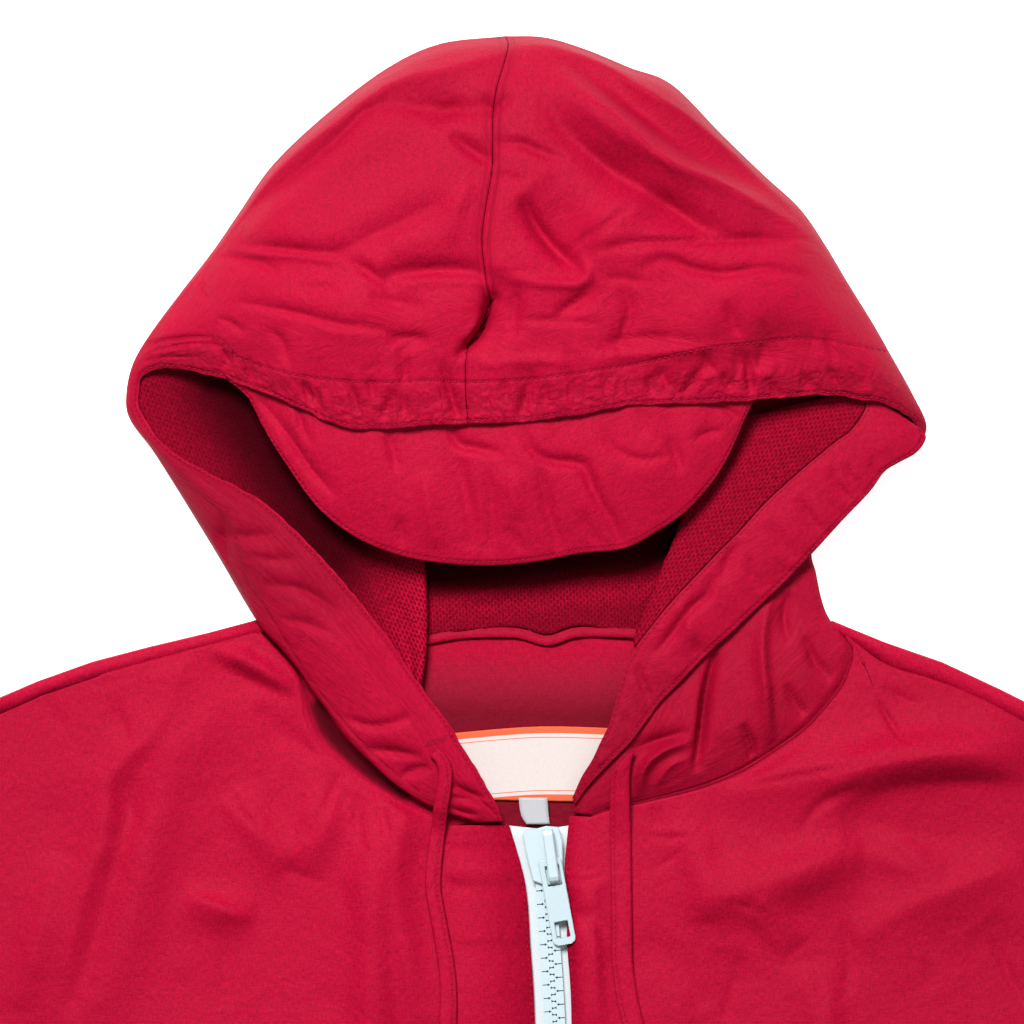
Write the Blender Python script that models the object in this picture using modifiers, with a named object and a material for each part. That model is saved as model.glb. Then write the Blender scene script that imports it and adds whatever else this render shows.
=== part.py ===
"""A hooded anorak pullover with a half zip, lying flat on its back, face up.

+X is the viewer's right, +Y runs from the hem to the hood's top, +Z is up. The tables are in
millimetres, measured from the front neck point, and build_all() moves the whole garment so that
the origin is under the middle of its box.
"""

import math

import bpy
import numpy as np
from mathutils import Vector
from mathutils.bvhtree import BVHTree

MM = 0.001

# Driving dimensions, in millimetres.
WALL = 1.2  # cloth
SEAM = 0.3  # gap between pieces at a seam, and between layers
LAYER = WALL + SEAM
HOOD_TOP = 297.5  # above the front neck point
HEM = -545.0  # below it
HEM_HALF = 262.0
FRONT_HEIGHT = 4.4  # the front panel's outer face over most of the chest
SIDE_HEIGHT = 3.0  # its outer face along the side seams and the hem
SLIT_END = -262.0
CHAIN_WIDTH = 7.8
CHAIN_TOP = -13.0
SLEEVE_LENGTH = 575.0
SLEEVE_ANGLE = 55.0  # below the level, in degrees
CUFF_WIDTH = 108.0
SLEEVE_HEIGHT = 6.0
REACH_X = 570.0  # from the middle to the far corner of either cuff
CENTRE_Y = (HOOD_TOP + HEM) / 2

# Rows of the hood's halves, from the centre seam round the face edge to the front neck.
# face x, face y, face height, edge x, edge y, edge height, seam x, seam y, crown rise
HOOD_LEFT = (
    (-31, 149.5, 34, -17, 297.5, 6, -7.5, 69, 9),
    (-45.5, 149, 34, -42, 294.5, 6, -16, 69.3, 9),
    (-62.5, 147.5, 33, -62.5, 285, 6, -24, 69.7, 9),
    (-78, 148.5, 31, -85.5, 267.5, 6, -31, 70, 9),
    (-93, 154.5, 28, -105.5, 248.5, 6, -38, 70, 8),
    (-107, 161, 24, -118.5, 230, 6, -44, 70.2, 7),
    (-119.5, 165.5, 20, -128.5, 215.5, 5.5, -50, 70.5, 6),
    (-131.5, 168.5, 16, -140.5, 200, 5, -56, 70.6, 5),
    (-146.5, 171, 11.5, -152, 184.5, 4.5, -62, 71, 3),
    (-154.5, 168, 8, -159, 172.5, 3.5, -67, 71.2, 0.5),
    (-156.5, 161.5, 7, -161.5, 160.5, 3, -72.5, 71.6, 0),
    (-154.5, 152, 7.5, -160, 151.5, 3, -78, 72, 0),
    (-144, 139.5, 10.5, -151.5, 140, 3.5, -84, 72.6, 0.5),
    (-127.5, 130, 14, -143.5, 127.5, 4, -90, 73.4, 2),
    (-112, 122, 16, -134.5, 113, 4.5, -96, 74.4, 3),
    (-97, 109.5, 17, -124.5, 96.5, 4.5, -101.5, 75.2, 3.5),
    (-83.5, 95.5, 17, -117, 83.5, 4.5, -106.5, 76, 3.5),
    (-72, 81.5, 16.5, -109.5, 72, 8, -111, 71, 3.5),
    (-62.5, 69.5, 16, -102, 64, 8.5, -103.5, 63, 3.5),
    (-54, 57.5, 15, -95, 55.5, 9, -96.5, 54.5, 3.5),
    (-47.5, 48, 14, -89.5, 47.5, 9, -94.5, 47.5, 3.5),
    (-40.5, 38.5, 13.5, -83, 39, 9, -93.5, 39, 3),
    (-36.5, 32.5, 13, -76.5, 30, 9, -89, 29.5, 3),
    (-32.5, 25.5, 12, -68, 21.5, 9, -80, 21, 2.5),
    (-27.5, 18, 11, -59.5, 13.5, 8.5, -67, 12.5, 2),
    (-23.5, 10.5, 10, -49, 6.5, 8, -56, 6, 1.5),
    (-20, 4, 9, -38, 1.5, 7, -45, 0.5, 1),
    (-18, -1.5, 7, -26.5, -2, 6, -38.5, -3, 0.5),
)
LEFT_SHOULDER_ROW = 16.5  # past this row the half is sewn to the front neck
HOOD_RIGHT = (
    (-31, 149.5, 34, -17, 297.5, 6, -7.5, 69, 9),
    (-15, 150, 35, -2, 297, 6, -2, 69, 9),
    (-2.5, 151, 35, 13.5, 292.5, 6, 3, 69, 9),
    (13.5, 153.5, 35, 30.5, 285.5, 6, 8, 69, 9),
    (28.5, 156, 34.5, 46.5, 279, 6, 14, 69, 9),
    (46, 157, 33.5, 65.5, 260, 6, 20, 69.3, 9),
    (61, 157.5, 32, 81, 245, 6, 26, 69.6, 9),
    (75, 158, 30, 95, 232, 6, 32, 70, 8),
    (88.5, 159.5, 27, 104.5, 218.5, 6, 37, 70, 7),
    (102, 160.5, 24, 113.5, 203.5, 5.5, 41, 70, 6),
    (114, 159.5, 20, 122.5, 189, 5, 45, 70.3, 5),
    (125.5, 157.5, 16.5, 130.5, 175, 4.5, 48, 70.5, 3),
    (134, 154, 12.5, 138, 161.5, 4, 52, 70.5, 0.5),
    (138, 150, 6.8, 143.5, 149, 3.2, 57, 70.8, 0),
    (127, 149.5, 6.8, 139, 140.5, 3, 62, 71, 0),
    (108, 147.5, 7, 128, 134, 3, 67, 71, 0),
    (83.5, 143.5, 7.5, 118.5, 124, 3.2, 73, 71.5, 0),
    (62.5, 136, 8, 108.5, 113, 3.4, 79, 72, 0),
    (54, 124, 8, 100, 102, 3.6, 85.5, 72, 0),
    (49, 111.5, 8, 101.5, 92.5, 4, 91, 72.5, 1),
    (44, 99, 8, 103.5, 83, 4, 96, 73, 1.5),
    (40, 86.5, 8, 106, 76.5, 3.2, 100.5, 73.5, 2),
    (36, 77, 8, 109, 71, 5.6, 111, 70, 2),
    (32.5, 67.5, 8, 113, 64, 6, 115, 65, 2),
    (29.5, 59.5, 8, 112.5, 58.5, 6, 115, 59, 2.5),
    (27.5, 50.5, 8, 108.5, 50.5, 6, 111.5, 50, 3),
    (25, 43, 8, 101.5, 42.5, 6, 104.5, 41, 3),
    (23, 35.5, 8, 92.5, 35, 6, 96.5, 32.5, 3),
    (20.5, 29, 7.5, 83, 28, 6, 86.5, 25.5, 2.5),
    (17.5, 23, 7.5, 70.5, 21.5, 6, 73, 17, 2),
    (14.5, 17.5, 7, 55.5, 15.5, 5.5, 58, 11, 1.5),
    (12, 12, 6.5, 38, 10, 5.5, 40, 6.5, 1),
    (10, 7, 6, 21.5, 5.5, 5.5, 22.5, 2.5, 0.5),
    (8.2, 2, 5.5, 13.5, 1.7, 5, 15.8, 0.2, 0),
)
RIGHT_SHOULDER_ROW = 21.5
HOOD_HALVES = {"left": (HOOD_LEFT, LEFT_SHOULDER_ROW), "right": (HOOD_RIGHT, RIGHT_SHOULDER_ROW)}

# x, y
CENTRE_SEAM = (
    (-31, 149.5), (-32, 164.5), (-33, 176), (-27.5, 183.5), (-21, 197.5), (-26, 210),
    (-24, 233.5), (-22, 245), (-21.5, 268.5), (-20, 277), (-16, 291.5), (-17, 297.5),
)
# Shoulder folds and the seams below them, from the neck outwards: x, y
SHOULDERS = {
    "left": (
        ((-114.5, 74.5), (-127.5, 71), (-162.5, 62.5), (-186, 55.5), (-216, 43)),
        ((-112, 70.5), (-127.5, 66.5), (-162.5, 57), (-191.5, 48), (-215, 37.5)),
    ),
    "right": (
        ((111, 74), (120, 70), (142, 62), (163, 53), (213, 28)),
        ((115.5, 68.8), (125, 61.5), (142, 54), (163, 46), (211, 20)),
    ),
}
UNDERARMS = {"left": (-256, -172), "right": (254, -188)}
# The tops of the front's two edges: x, y
FRONT_CORNERS = {"left": (-15.5, -3), "right": (7.4, 0.6)}
# The zip's visible edges, from the neck down: left x, right x, y
ZIP_EDGES = (
    (-15.5, 7, -3), (-10.5, 5.5, -20), (-8.5, 6.5, -32), (-7.5, 6.5, -48), (-6, 8, -70),
    (-5, 8.5, -110), (-4.5, 9.5, -180), (-3.5, 9.5, -262),
)
# The peak, from its left end to its right: root x, root y, root height, edge x, edge y, edge height
PEAK = (
    (-123.5, 168.5, 17.5, -122, 166, 17.3),
    (-117.5, 167, 18.5, -114, 159, 18),
    (-109, 163.5, 20.5, -106.5, 144.5, 19),
    (-98.5, 159, 23, -98.5, 132, 20),
    (-88, 155.5, 26, -88.5, 118.5, 21),
    (-78, 151.5, 28.5, -76.5, 108.5, 22),
    (-66.5, 149.5, 30, -63.5, 102, 23),
    (-54, 150, 31, -48.5, 98, 23.5),
    (-39.5, 151.5, 31.5, -28, 96, 24),
    (-23, 151.5, 32, -8.5, 97, 24),
    (-2.5, 152.5, 32.5, 11, 100.5, 24),
    (15, 155.5, 32.5, 28, 102.5, 24),
    (30.5, 158, 32, 40, 108.5, 24),
    (44, 159, 31, 51.5, 116.5, 24.5),
    (57, 160, 30, 61, 127, 25),
    (66.5, 160.5, 28.5, 68, 138.5, 25.5),
    (73, 160.5, 27.5, 73.5, 151, 26),
    (76.5, 160.5, 26.8, 77, 158, 26.3),
)
# The turned-out front edge on the right, from under the crown down to the neck:
# rim x, rim y, rim height, seam x, seam y, seam height, roll x, roll y, roll height
TURNED_EDGE = (
    (140.5, 148.4, 8.6, 118.5, 163, 13.5, 70.5, 152, 13),
    (143, 144.6, 8.8, 120, 156, 14, 68, 147, 13.5),
    (139.5, 139, 10, 114.5, 147.5, 15.5, 64, 141, 14),
    (132.5, 135, 11, 108.5, 143, 16, 61.5, 135.5, 14.5),
    (127, 131.5, 12, 100, 136, 16.5, 59.5, 132, 15),
    (121.5, 124, 12.5, 93.5, 130.5, 17, 57, 128, 15),
    (111, 113, 13, 81.5, 119.5, 17.5, 53, 121, 15),
    (100.5, 101.5, 13, 72, 109, 17.5, 49, 112, 15),
    (89, 89.5, 13, 62.5, 99.5, 17.5, 46, 103.5, 15),
    (77.5, 78.5, 13, 53, 89.5, 17, 42, 94, 15),
    (68, 69.5, 13, 45.5, 81.5, 16.5, 38, 84.5, 14.5),
    (58, 60.5, 12.5, 39, 73.5, 15.5, 34.5, 76, 14),
    (50.5, 52.5, 12.5, 33, 65.5, 14, 32, 69, 13.5),
    (42.5, 44.5, 12, 28.5, 57, 13, 28, 57, 13),
    (36.5, 36.5, 11.5, 25.5, 46.5, 12.5, 25, 46.5, 12),
    (30.5, 28.5, 11, 22.5, 36, 12, 22, 36, 12),
    (24.5, 22.5, 10.5, 19, 28.5, 11.5, 19, 28.5, 11),
    (19, 17, 10, 16, 22, 10.5, 16, 22, 10),
    (14, 11.5, 9, 12, 15.5, 9, 12, 15.5, 9),
    (9.5, 5, 7.6, 8.5, 7.5, 7.6, 8.5, 7.5, 8.5),
)
LINING_RIGHT_ROWS = 12.2  # the rows of TURNED_EDGE where the lining shows beside the facing
# The lining of the left side, from the top down:
# outer x, outer y, outer height, fold x, fold y, fold height
LINING_LEFT = (
    (-127, 172, 11, -57, 159, 10),
    (-148, 172, 6.4, -55, 147.5, 10),
    (-156.5, 165.5, 5.6, -53, 138, 10),
    (-157, 158, 5.4, -51.5, 128.5, 10),
    (-152.5, 149, 5.6, -50, 119, 10),
    (-139, 138, 7, -49, 109.5, 10),
    (-122, 129.5, 9, -48, 100, 10),
    (-107, 121, 11, -47, 90.5, 10),
    (-91, 106, 12.5, -46.5, 81, 10),
    (-76, 88, 13, -46.5, 72, 10),
    (-63, 70, 12.5, -47, 62, 10),
    (-55.5, 58, 11, -48.5, 51, 9.5),
)
# The back lining's upper and lower edges: x, y
LINING_BACK = (
    ((-59, 150), (-20, 152), (20, 150), (52, 140)),
    ((-57, 71), (-46.5, 70.6), (-30, 71.6), (-13.5, 72.6), (-1, 69.8), (11, 73), (31.5, 70), (44, 70.4)),
)
LABEL_EDGES = (
    ((-44, 31), (-35, 32.2), (-5.5, 34.5), (21.5, 34), (32, 33)),
    ((-41, 7.2), (-20, 6.6), (10, 6), (28, 6)),
)
SIZE_TAG = (((-12, 7.5), (-11, 1), (-9, -2.6)), ((-1, 7.5), (-0.5, 1), (0, -2.6)))
# The drawstring's free ends: x, y, width
DRAWSTRINGS = {
    "left": (
        (-44, 25, 4.5), (-41.5, 22.5, 5), (-39.8, 18, 5.4), (-40.3, 11, 5.6), (-41.5, 4, 5.6),
        (-42.3, -3, 5.6), (-43.5, -12, 5.8), (-44.5, -26, 6), (-42.3, -39.5, 6),
        (-39.7, -55, 6.2), (-38.7, -66, 6.4),
        (-39, -80, 6.8), (-41, -105, 7), (-45, -130, 7), (-48, -155, 7), (-47.5, -180, 7), (-44, -205, 7),
        (-41.5, -230, 7), (-42, -255, 7),
    ),
    "right": (
        (29.2, 26, 6.5), (27.3, 20, 7.2), (26.6, 10.5, 7.6), (26.8, -4.5, 8), (27.1, -20, 8),
        (27.4, -40.5, 8), (27.5, -54.5, 8), (29.2, -67.5, 8), (32, -80, 8), (37, -104, 8),
        (41, -128, 8), (43, -152, 8),
        (42, -176, 8), (39.5, -200, 8), (38.5, -224, 8), (40, -250, 8),
    ),
}

# Folds: the path's places, height at the middle, half width on its left and on its right.
# A trough has a height below zero.
CROWN_FOLDS = (
    (((-30, 176), (-24, 188), (-20, 198), (-19, 208)), -5, 5, 9),
    (((-11, 234), (2, 222), (8, 213), (14, 208)), -4.5, 13, 8),
    (((7, 214), (18, 224), (30, 233), (44, 243)), 4, 7, 9),
    (((15, 214), (45, 219), (78, 219)), 3, 6, 8),
    (((1, 285), (32, 260), (48, 246), (62, 240), (84, 231)), 5, 7, 12),
    (((-124, 216), (-84, 210), (-62, 204), (-54, 200)), -3.5, 6, 10),
    (((-64, 204), (-44, 205), (-24, 204)), -3, 5, 8),
    (((-122, 219), (-110, 232), (-92, 247), (-72, 268)), 3, 5, 9),
    (((-106, 235), (-80, 240), (-50, 258), (-30, 280)), -2.5, 12, 12),
    (((-70, 170), (-75, 190), (-70, 215)), 3, 14, 14),
    (((40, 170), (60, 190), (95, 200)), 3, 12, 12),
    (((70, 172), (90, 180), (118, 182)), -2.5, 7, 9),
)
FRONT_FOLDS = (
    (((-139, 54), (-162, 22), (-171, -5), (-186, -50), (-204, -75), (-214, -110)), -6, 16, 20),
    (((-123, 50), (-146, 20), (-154, -5), (-166, -50), (-180, -85)), 4.5, 12, 12),
    (((-81, 18), (-88, -6), (-93, -22)), 3.5, 7, 9),
    (((-134, 66), (-118, 56), (-110, 48)), -2.5, 6, 8),
    (((-123, 10), (-111, -5), (-100, -20)), 2.5, 7, 7),
    (((-140, -30), (-128, -35), (-112, -38)), 2.5, 6, 7),
    (((-53, -5), (-55, -30), (-54, -60), (-50, -90), (-54, -130)), -3.5, 7, 8),
    (((-66, 0), (-70, -40), (-67, -80), (-72, -125)), 3, 8, 8),
    (((-34, -4), (-27, -22), (-26, -50), (-28, -90)), 2.5, 7, 6),
    (((105, 10), (127, 22), (160, 25), (190, 27)), 5, 7, 14),
    (((110, 0), (135, 6), (165, 6), (200, 2)), -5.5, 10, 14),
    (((50, -35), (72, -30), (92, -24), (120, -10)), 3.5, 7, 9),
    (((77, -32), (85, -40), (94, -50)), 2.5, 6, 6),
    (((115, -8), (133, -14), (150, -22)), 2.5, 7, 8),
    (((165, -40), (182, -62), (196, -86), (215, -120)), -4.5, 9, 12),
    (((98, -55), (104, -78), (108, -110)), 3, 8, 8),
    (((70, -50), (66, -78), (60, -115)), -3, 9, 9),
    (((45, 0), (56, -12), (60, -40)), 2.2, 7, 8),
    (((-230, -120), (-180, -150), (-110, -170), (-60, -165)), 5, 12, 18),
    (((-240, -165), (-190, -200), (-130, -225)), -5, 12, 14),
    (((240, -140), (190, -165), (130, -180), (70, -175)), 5, 14, 12),
    (((240, -195), (180, -235), (110, -255)), -4.5, 14, 12),
    (((-110, -230), (-100, -300), (-125, -380), (-118, -470)), 5, 14, 18),
    (((-60, -280), (-48, -350), (-60, -430), (-52, -520)), -4, 14, 12),
    (((-190, -300), (-180, -370), (-195, -450), (-188, -535)), -4, 16, 14),
    (((60, -270), (76, -345), (64, -420), (80, -510)), 5, 16, 12),
    (((130, -300), (118, -370), (135, -450), (126, -535)), -4.5, 14, 16),
    (((195, -260), (205, -340), (192, -430), (200, -520)), 4, 14, 16),
    (((10, -300), (0, -370), (12, -450), (4, -530)), 3.5, 14, 14),
)
# Sleeve folds: along the sleeve from armhole to cuff, across it from the upper edge to the lower,
# as shares; then height at the middle and half width in millimetres.
SLEEVE_FOLDS = {
    "left": (
        (((0.02, 0.85), (0.12, 0.6), (0.24, 0.3)), 5, 12),
        (((0.05, 0.98), (0.2, 0.78), (0.36, 0.55)), -3, 11),
        (((0.3, 0.2), (0.42, 0.5), (0.52, 0.85)), 4, 12),
        (((0.45, 0.15), (0.56, 0.45), (0.6, 0.8)), -3, 10),
        (((0.6, 0.15), (0.72, 0.4), (0.8, 0.8)), 4, 11),
        (((0.78, 0.2), (0.88, 0.5), (0.97, 0.6)), 3, 9),
    ),
    "right": (
        (((0.02, 0.8), (0.14, 0.55), (0.28, 0.4)), 5, 13),
        (((0.04, 0.95), (0.18, 0.85), (0.34, 0.7)), -3, 11),
        (((0.26, 0.85), (0.4, 0.5), (0.5, 0.2)), 4, 12),
        (((0.42, 0.85), (0.54, 0.6), (0.64, 0.25)), -3, 11),
        (((0.6, 0.8), (0.7, 0.5), (0.82, 0.25)), 4.5, 11),
        (((0.8, 0.75), (0.9, 0.5), (0.98, 0.4)), 3, 9),
    ),
}

# The zip's slider, seen from above, the profile of its bridge, along it and upwards, and the pull.
SLIDER_OUTLINE = (
    (-10.6, -6.6), (-9.4, -4.4), (-5, -4.2), (-1.5, -3.2), (3.4, -3.6), (4.8, -9), (5, -20),
    (4.4, -25.6), (-3, -25.4), (-6.4, -24.2), (-8.8, -15),
)
SLIDER_BASE, SLIDER_TOP = 5.5, 7.1
BRIDGE_ENDS = ((-1.1, -4.2), (1.7, -24.6))
BRIDGE_PROFILE = (
    (0, 6.6), (0, 10.6), (0.8, 11.8), (2.2, 12.4), (18.4, 12.4), (19.8, 11.8), (20.6, 10.6), (20.6, 6.6),
    (18.4, 6.6), (18.4, 9.6), (17.4, 10.6), (6.6, 10.6), (5.6, 9.6), (5.6, 6.6),
)
BRIDGE_WIDTH = 4.0
HINGE = (0, -16.9, 8.9)
PULL_TILT = 10.4  # degrees that its lower end leans to the right
PULL_DROP = 4.4  # degrees that its lower end lies lower
PULL_OUTLINE = (
    (-4.4, 0.6), (-3.7, 1.3), (3.7, 1.3), (4.4, 0.6), (4.4, -30), (4, -31.2), (2.8, -32), (-2.8, -32),
    (-4, -31.2), (-4.4, -30),
)
PULL_SLOT = ((-2.3, -1.3), (3.1, -1.3), (3.1, -9.2), (-2.3, -9.2))
PULL_HOLE = ((-2.6, -23), (2.6, -23), (2.6, -29.4), (-2.6, -29.4))
PULL_THICK = 1.4

# Colours: red, green, blue, roughness
CLOTH_RED = (0.62, 0.012, 0.045, 0.72)
MESH_RED = (0.5, 0.01, 0.025, 0.8)
ZIP_WHITE = (0.72, 0.83, 0.87, 0.35)
TAPE_WHITE = (0.8, 0.87, 0.9, 0.8)
LABEL_WHITE = (0.85, 0.78, 0.74, 0.7)
TAG_GREY = (0.6, 0.6, 0.62, 0.5)


def clear_scene():
    for obj in list(bpy.data.objects):
        bpy.data.objects.remove(obj, do_unlink=True)


def material(name, colour):
    """The object's own material."""
    made = bpy.data.materials.new(name)
    made.use_nodes = True
    shader = made.node_tree.nodes["Principled BSDF"]
    shader.inputs["Base Color"].default_value = (*colour[:3], 1)
    shader.inputs["Roughness"].default_value = colour[3]
    shader.inputs["Metallic"].default_value = 0.0
    return made


# Curves and fields.


def spline(points, at):
    """Places on the smooth curve through the points: at 1.5, halfway from the second to the third."""
    p = np.asarray(points, float)
    at = np.clip(np.asarray(at, float), 0, len(p) - 1)
    i = np.minimum(at.astype(int), len(p) - 2)
    f = (at - i)[:, None]
    padded = np.vstack([2 * p[0] - p[1], p, 2 * p[-1] - p[-2]])
    a, b, c, d = (padded[i + k] for k in range(4))
    bend = (2 * a - 5 * b + 4 * c - d) * f**2 + (3 * b - a - 3 * c + d) * f**3
    return 0.5 * (2 * b + (c - a) * f + bend)


def evenly(points, shares):
    """Places on the smooth curve through the points, at shares of its length, or that many even ones."""
    if np.isscalar(shares):
        shares = np.linspace(0, 1, shares)
    fine = spline(points, np.linspace(0, len(points) - 1, 24 * len(points)))
    steps = np.hypot(*np.diff(fine[:, :2], axis=0).T)
    along = np.concatenate([[0], np.cumsum(steps)])
    at = np.asarray(shares) * along[-1]
    return np.stack([np.interp(at, along, fine[:, k]) for k in range(fine.shape[1])], axis=1)


def normals_of(line):
    """Unit vectors to the left of a plan line at each of its points."""
    step = np.gradient(line[:, :2], axis=0)
    step /= np.maximum(np.hypot(*step.T), 1e-9)[:, None]
    return np.stack([-step[:, 1], step[:, 0]], axis=1)


def ease(x):
    x = np.clip(x, 0, 1)
    return x * x * (3 - 2 * x)


def fold_height(x, y, folds):
    """What the folds add at each place: a rounded ridge or trough that fades towards its ends."""
    total = np.zeros_like(x)
    for path, height, left, right in folds:
        line = evenly(path, 14)
        start, step = line[:-1], np.diff(line, axis=0)
        gap = np.stack([x, y], -1)[..., None, :] - start
        share = np.clip((gap * step).sum(-1) / (step**2).sum(-1), 0, 1)
        off = gap - share[..., None] * step
        distance = np.hypot(off[..., 0], off[..., 1])
        nearest = distance.argmin(-1)[..., None]
        distance = np.take_along_axis(distance, nearest, -1)[..., 0]
        share = np.take_along_axis(share, nearest, -1)[..., 0]
        side = step[:, 0] * gap[..., 1] - step[:, 1] * gap[..., 0]
        side = np.take_along_axis(side, nearest, -1)[..., 0]
        along = (nearest[..., 0] + share) / len(step)
        width = np.where(side > 0, left, right)
        total += height * np.exp(-((distance / width) ** 2)) * np.sin(np.pi * along) ** 0.7
    return total


def fade_out(v, depth):
    """From 1 to 0 over the depth, fastest at the start."""
    return (1 - np.clip(v / depth, 0, 1)) ** 2


def panel_net(top, start, end, across, down):
    """Places of a panel between two side curves, both given from the top down, under the curve top.
    The shares across and down say where its lines run; the top's own shape fades out downwards."""
    base = top[:, 1].mean()
    v = down[:, None]
    y = base + (start[-1, 1] - base) * v + (top[:, 1] - base) * fade_out(v, 0.4)

    def sides(at_y):
        return (np.interp(-at_y, -line[:, 1], line[:, 0]) for line in (start, end))

    left, right = sides(top[:, 1])
    at_top = (top[:, 0] - left) / (right - left)
    share = across + (at_top - across) * fade_out(v, 0.2)
    left, right = sides(y)
    return np.stack([left + (right - left) * share, y], -1)


# Objects.


def mesh_object(name, points, faces, look, parent):
    mesh = bpy.data.meshes.new(name)
    mesh.from_pydata([tuple(p) for p in points], [], faces)
    obj = bpy.data.objects.new(name, mesh)
    bpy.data.collections["anorak_pullover"].objects.link(obj)
    obj.parent = parent
    mesh.materials.append(material(name, look))
    mesh.shade_smooth()
    mesh.set_sharp_from_angle(angle=math.radians(50))
    return obj


def add_wall(obj, wall):
    solid = obj.modifiers.new("wall", "SOLIDIFY")
    solid.thickness = wall * MM
    solid.offset = -1


def cloth(name, rows, look, parent, wall=WALL, flip=False, keep=None, closed=False):
    """A net of places, rows by stations, as one sheet with its wall behind its face."""
    n, m = rows.shape[:2]
    faces = []
    for i in range(n - 1):
        for j in range(m if closed else m - 1):
            if keep is not None and not keep[i, j]:
                continue
            k = (j + 1) % m
            quad = [i * m + j, i * m + k, (i + 1) * m + k, (i + 1) * m + j]
            faces.append(quad[::-1] if flip else quad)
    used = sorted({v for f in faces for v in f})
    number = {v: i for i, v in enumerate(used)}
    points = rows.reshape(-1, 3)[used] * MM
    obj = mesh_object(name, points, [[number[v] for v in f] for f in faces], look, parent)
    add_wall(obj, wall)
    return obj


# The hood.


def hood_rows(side):
    """A hood half's row numbers, its table and which rows lie under, before the shoulder."""
    table, shoulder_row = HOOD_HALVES[side]
    at = np.arange(len(table), dtype=float)
    return at, np.array(table, float), at < shoulder_row


def beside_height(side, radius, share):
    """How high the cloth beside the hood's edge is, on its way to the front neck seam: on the left it
    sinks into a hollow, on the right it falls evenly to the seam."""
    rise = radius - FRONT_HEIGHT
    if side == "left":
        return FRONT_HEIGHT + rise * (1 - share) ** 2.2
    return FRONT_HEIGHT + rise * (1 - share) ** 1.2


def hood_stations(side, top, under, pull):
    """A hood half as rows: from the face edge over the top to the edge, then round it and under to
    the seam, or, past the shoulder, down beside the edge to the front neck seam. The pull is how
    far the part that lies under bends inwards on its way, past the notch below the tip."""
    at, values, lies_under = hood_rows(side)
    face, edge, seam, rise = values[:, 0:3], values[:, 3:6], values[:, 6:8], values[:, 8:9]
    outward = normals_of(edge) * (-1 if side == "left" else 1)
    outward[0] = (0, 1)
    lies_under = lies_under[:, None]
    share = 1 - (1 - np.linspace(0, 1, top)) ** 1.35
    x = face[:, 0:1] + (edge[:, 0:1] - face[:, 0:1]) * share
    y = face[:, 1:2] + (edge[:, 1:2] - face[:, 1:2]) * share
    long = np.hypot(edge[:, 0] - face[:, 0], edge[:, 1] - face[:, 1])[:, None]
    inward = long * (1 - share)
    round_width = np.minimum(0.95 * long, 30)
    bow = np.sqrt(np.clip(1 - (1 - np.clip(inward / round_width, 0, 1)) ** 2, 0, 1))
    z = edge[:, 2:3] + (face[:, 2:3] - edge[:, 2:3]) * bow
    z += rise * np.sin(np.pi * np.clip(inward / long, 0, 1)) * bow
    stations = [np.stack([x, y, z], -1)]
    radius = edge[:, 2:3]
    for angle in (0.25 * math.pi, 0.5 * math.pi):
        turned = edge[:, :2] - outward * radius * (1 - math.cos(angle))
        low = radius * (1 - math.sin(angle))
        step = angle / math.pi * 0.9
        beside = edge[:, :2] + (seam - edge[:, :2]) * step
        down = beside_height(side, radius, step)
        plan = np.where(lies_under, turned, beside)
        stations.append(np.concatenate([plan, np.where(lies_under, low, down)], 1)[:, None])
    turn = stations[-1][:, 0]
    deep = np.where(lies_under, edge[:, 1:2] - seam[:, 1:2], 0)
    weight = ease((at[:, None] - 5) / 7) * np.clip(deep / 30, 0, 1) * (pull > 0)
    middle = (turn[:, :2] + seam) / 2 * (1 - weight) + weight * (seam + (-pull, 0) + (0, 0.5) * deep)
    for share in np.linspace(0, 1, under + 1)[1:]:
        plan = (1 - share) ** 2 * turn[:, :2] + 2 * share * (1 - share) * middle + share**2 * seam
        fall = beside_height(side, radius, 0.45 + 0.55 * share)
        stations.append(np.concatenate([plan, np.where(lies_under, 0, fall)], 1)[:, None])
    return np.concatenate(stations, 1), at


def follow_centre_seam(net, at, top, side):
    """Bends the first rows of the crown to the wavy centre seam, half a gap to their own side."""
    wave = evenly(CENTRE_SEAM, 1 - (1 - np.linspace(0, 1, top)) ** 1.35)
    bend = wave - net[0, :top, :2]
    fade = np.clip(1 - at / 5, 0, 1) ** 1.5
    net[:, :top, :2] += fade[:, None, None] * bend[None]
    net[0, :, 0] += side * SEAM / 2
    return net


def crown_relief(net, side, last_row, top):
    """Adds the crown's folds, fading at the edge, the face edge and the rows past the crown."""
    at, values, _ = hood_rows(side)
    away = np.hypot(net[:, :top, 0] - values[:, 3:4], net[:, :top, 1] - values[:, 4:5])
    fade = ease(away / 16) * ease((last_row - at) / 3)[:, None]
    net[:, :top, 2] += fold_height(net[:, :top, 0], net[:, :top, 1], CROWN_FOLDS) * fade
    return net


def hood(look, parent):
    """Both halves. Past the shoulder the part beside the edge starts anew, on top of the front."""
    top = 14
    for side, under, pull, last_row in (("left", 3, 0, 8), ("right", 4, 12, 11)):
        net, at = hood_stations(side, top, under, pull)
        net = follow_centre_seam(net, at, top, -1 if side == "left" else 1)
        net = crown_relief(net, side, last_row, top)
        keep = np.ones((net.shape[0] - 1, net.shape[1] - 1), bool)
        keep[hood_rows(side)[2].sum() - 1, top - 1:] = False
        cloth(f"hood_{side}", net, look, parent, flip=side == "right", keep=keep)


def peak(look, parent):
    values = spline(PEAK, np.linspace(0, len(PEAK) - 1, 22))
    share = np.linspace(0, 1, 7)[None, :, None]
    net = values[:, None, 0:3] + (values[:, None, 3:6] - values[:, None, 0:3]) * share
    deep = np.hypot(*(values[:, 0:2] - values[:, 3:5]).T)[:, None]
    net[..., 2] += 0.06 * deep * np.sin(np.pi * share[..., 0])
    cloth("peak", net, look, parent, wall=1.6, flip=False)
    return net


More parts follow.
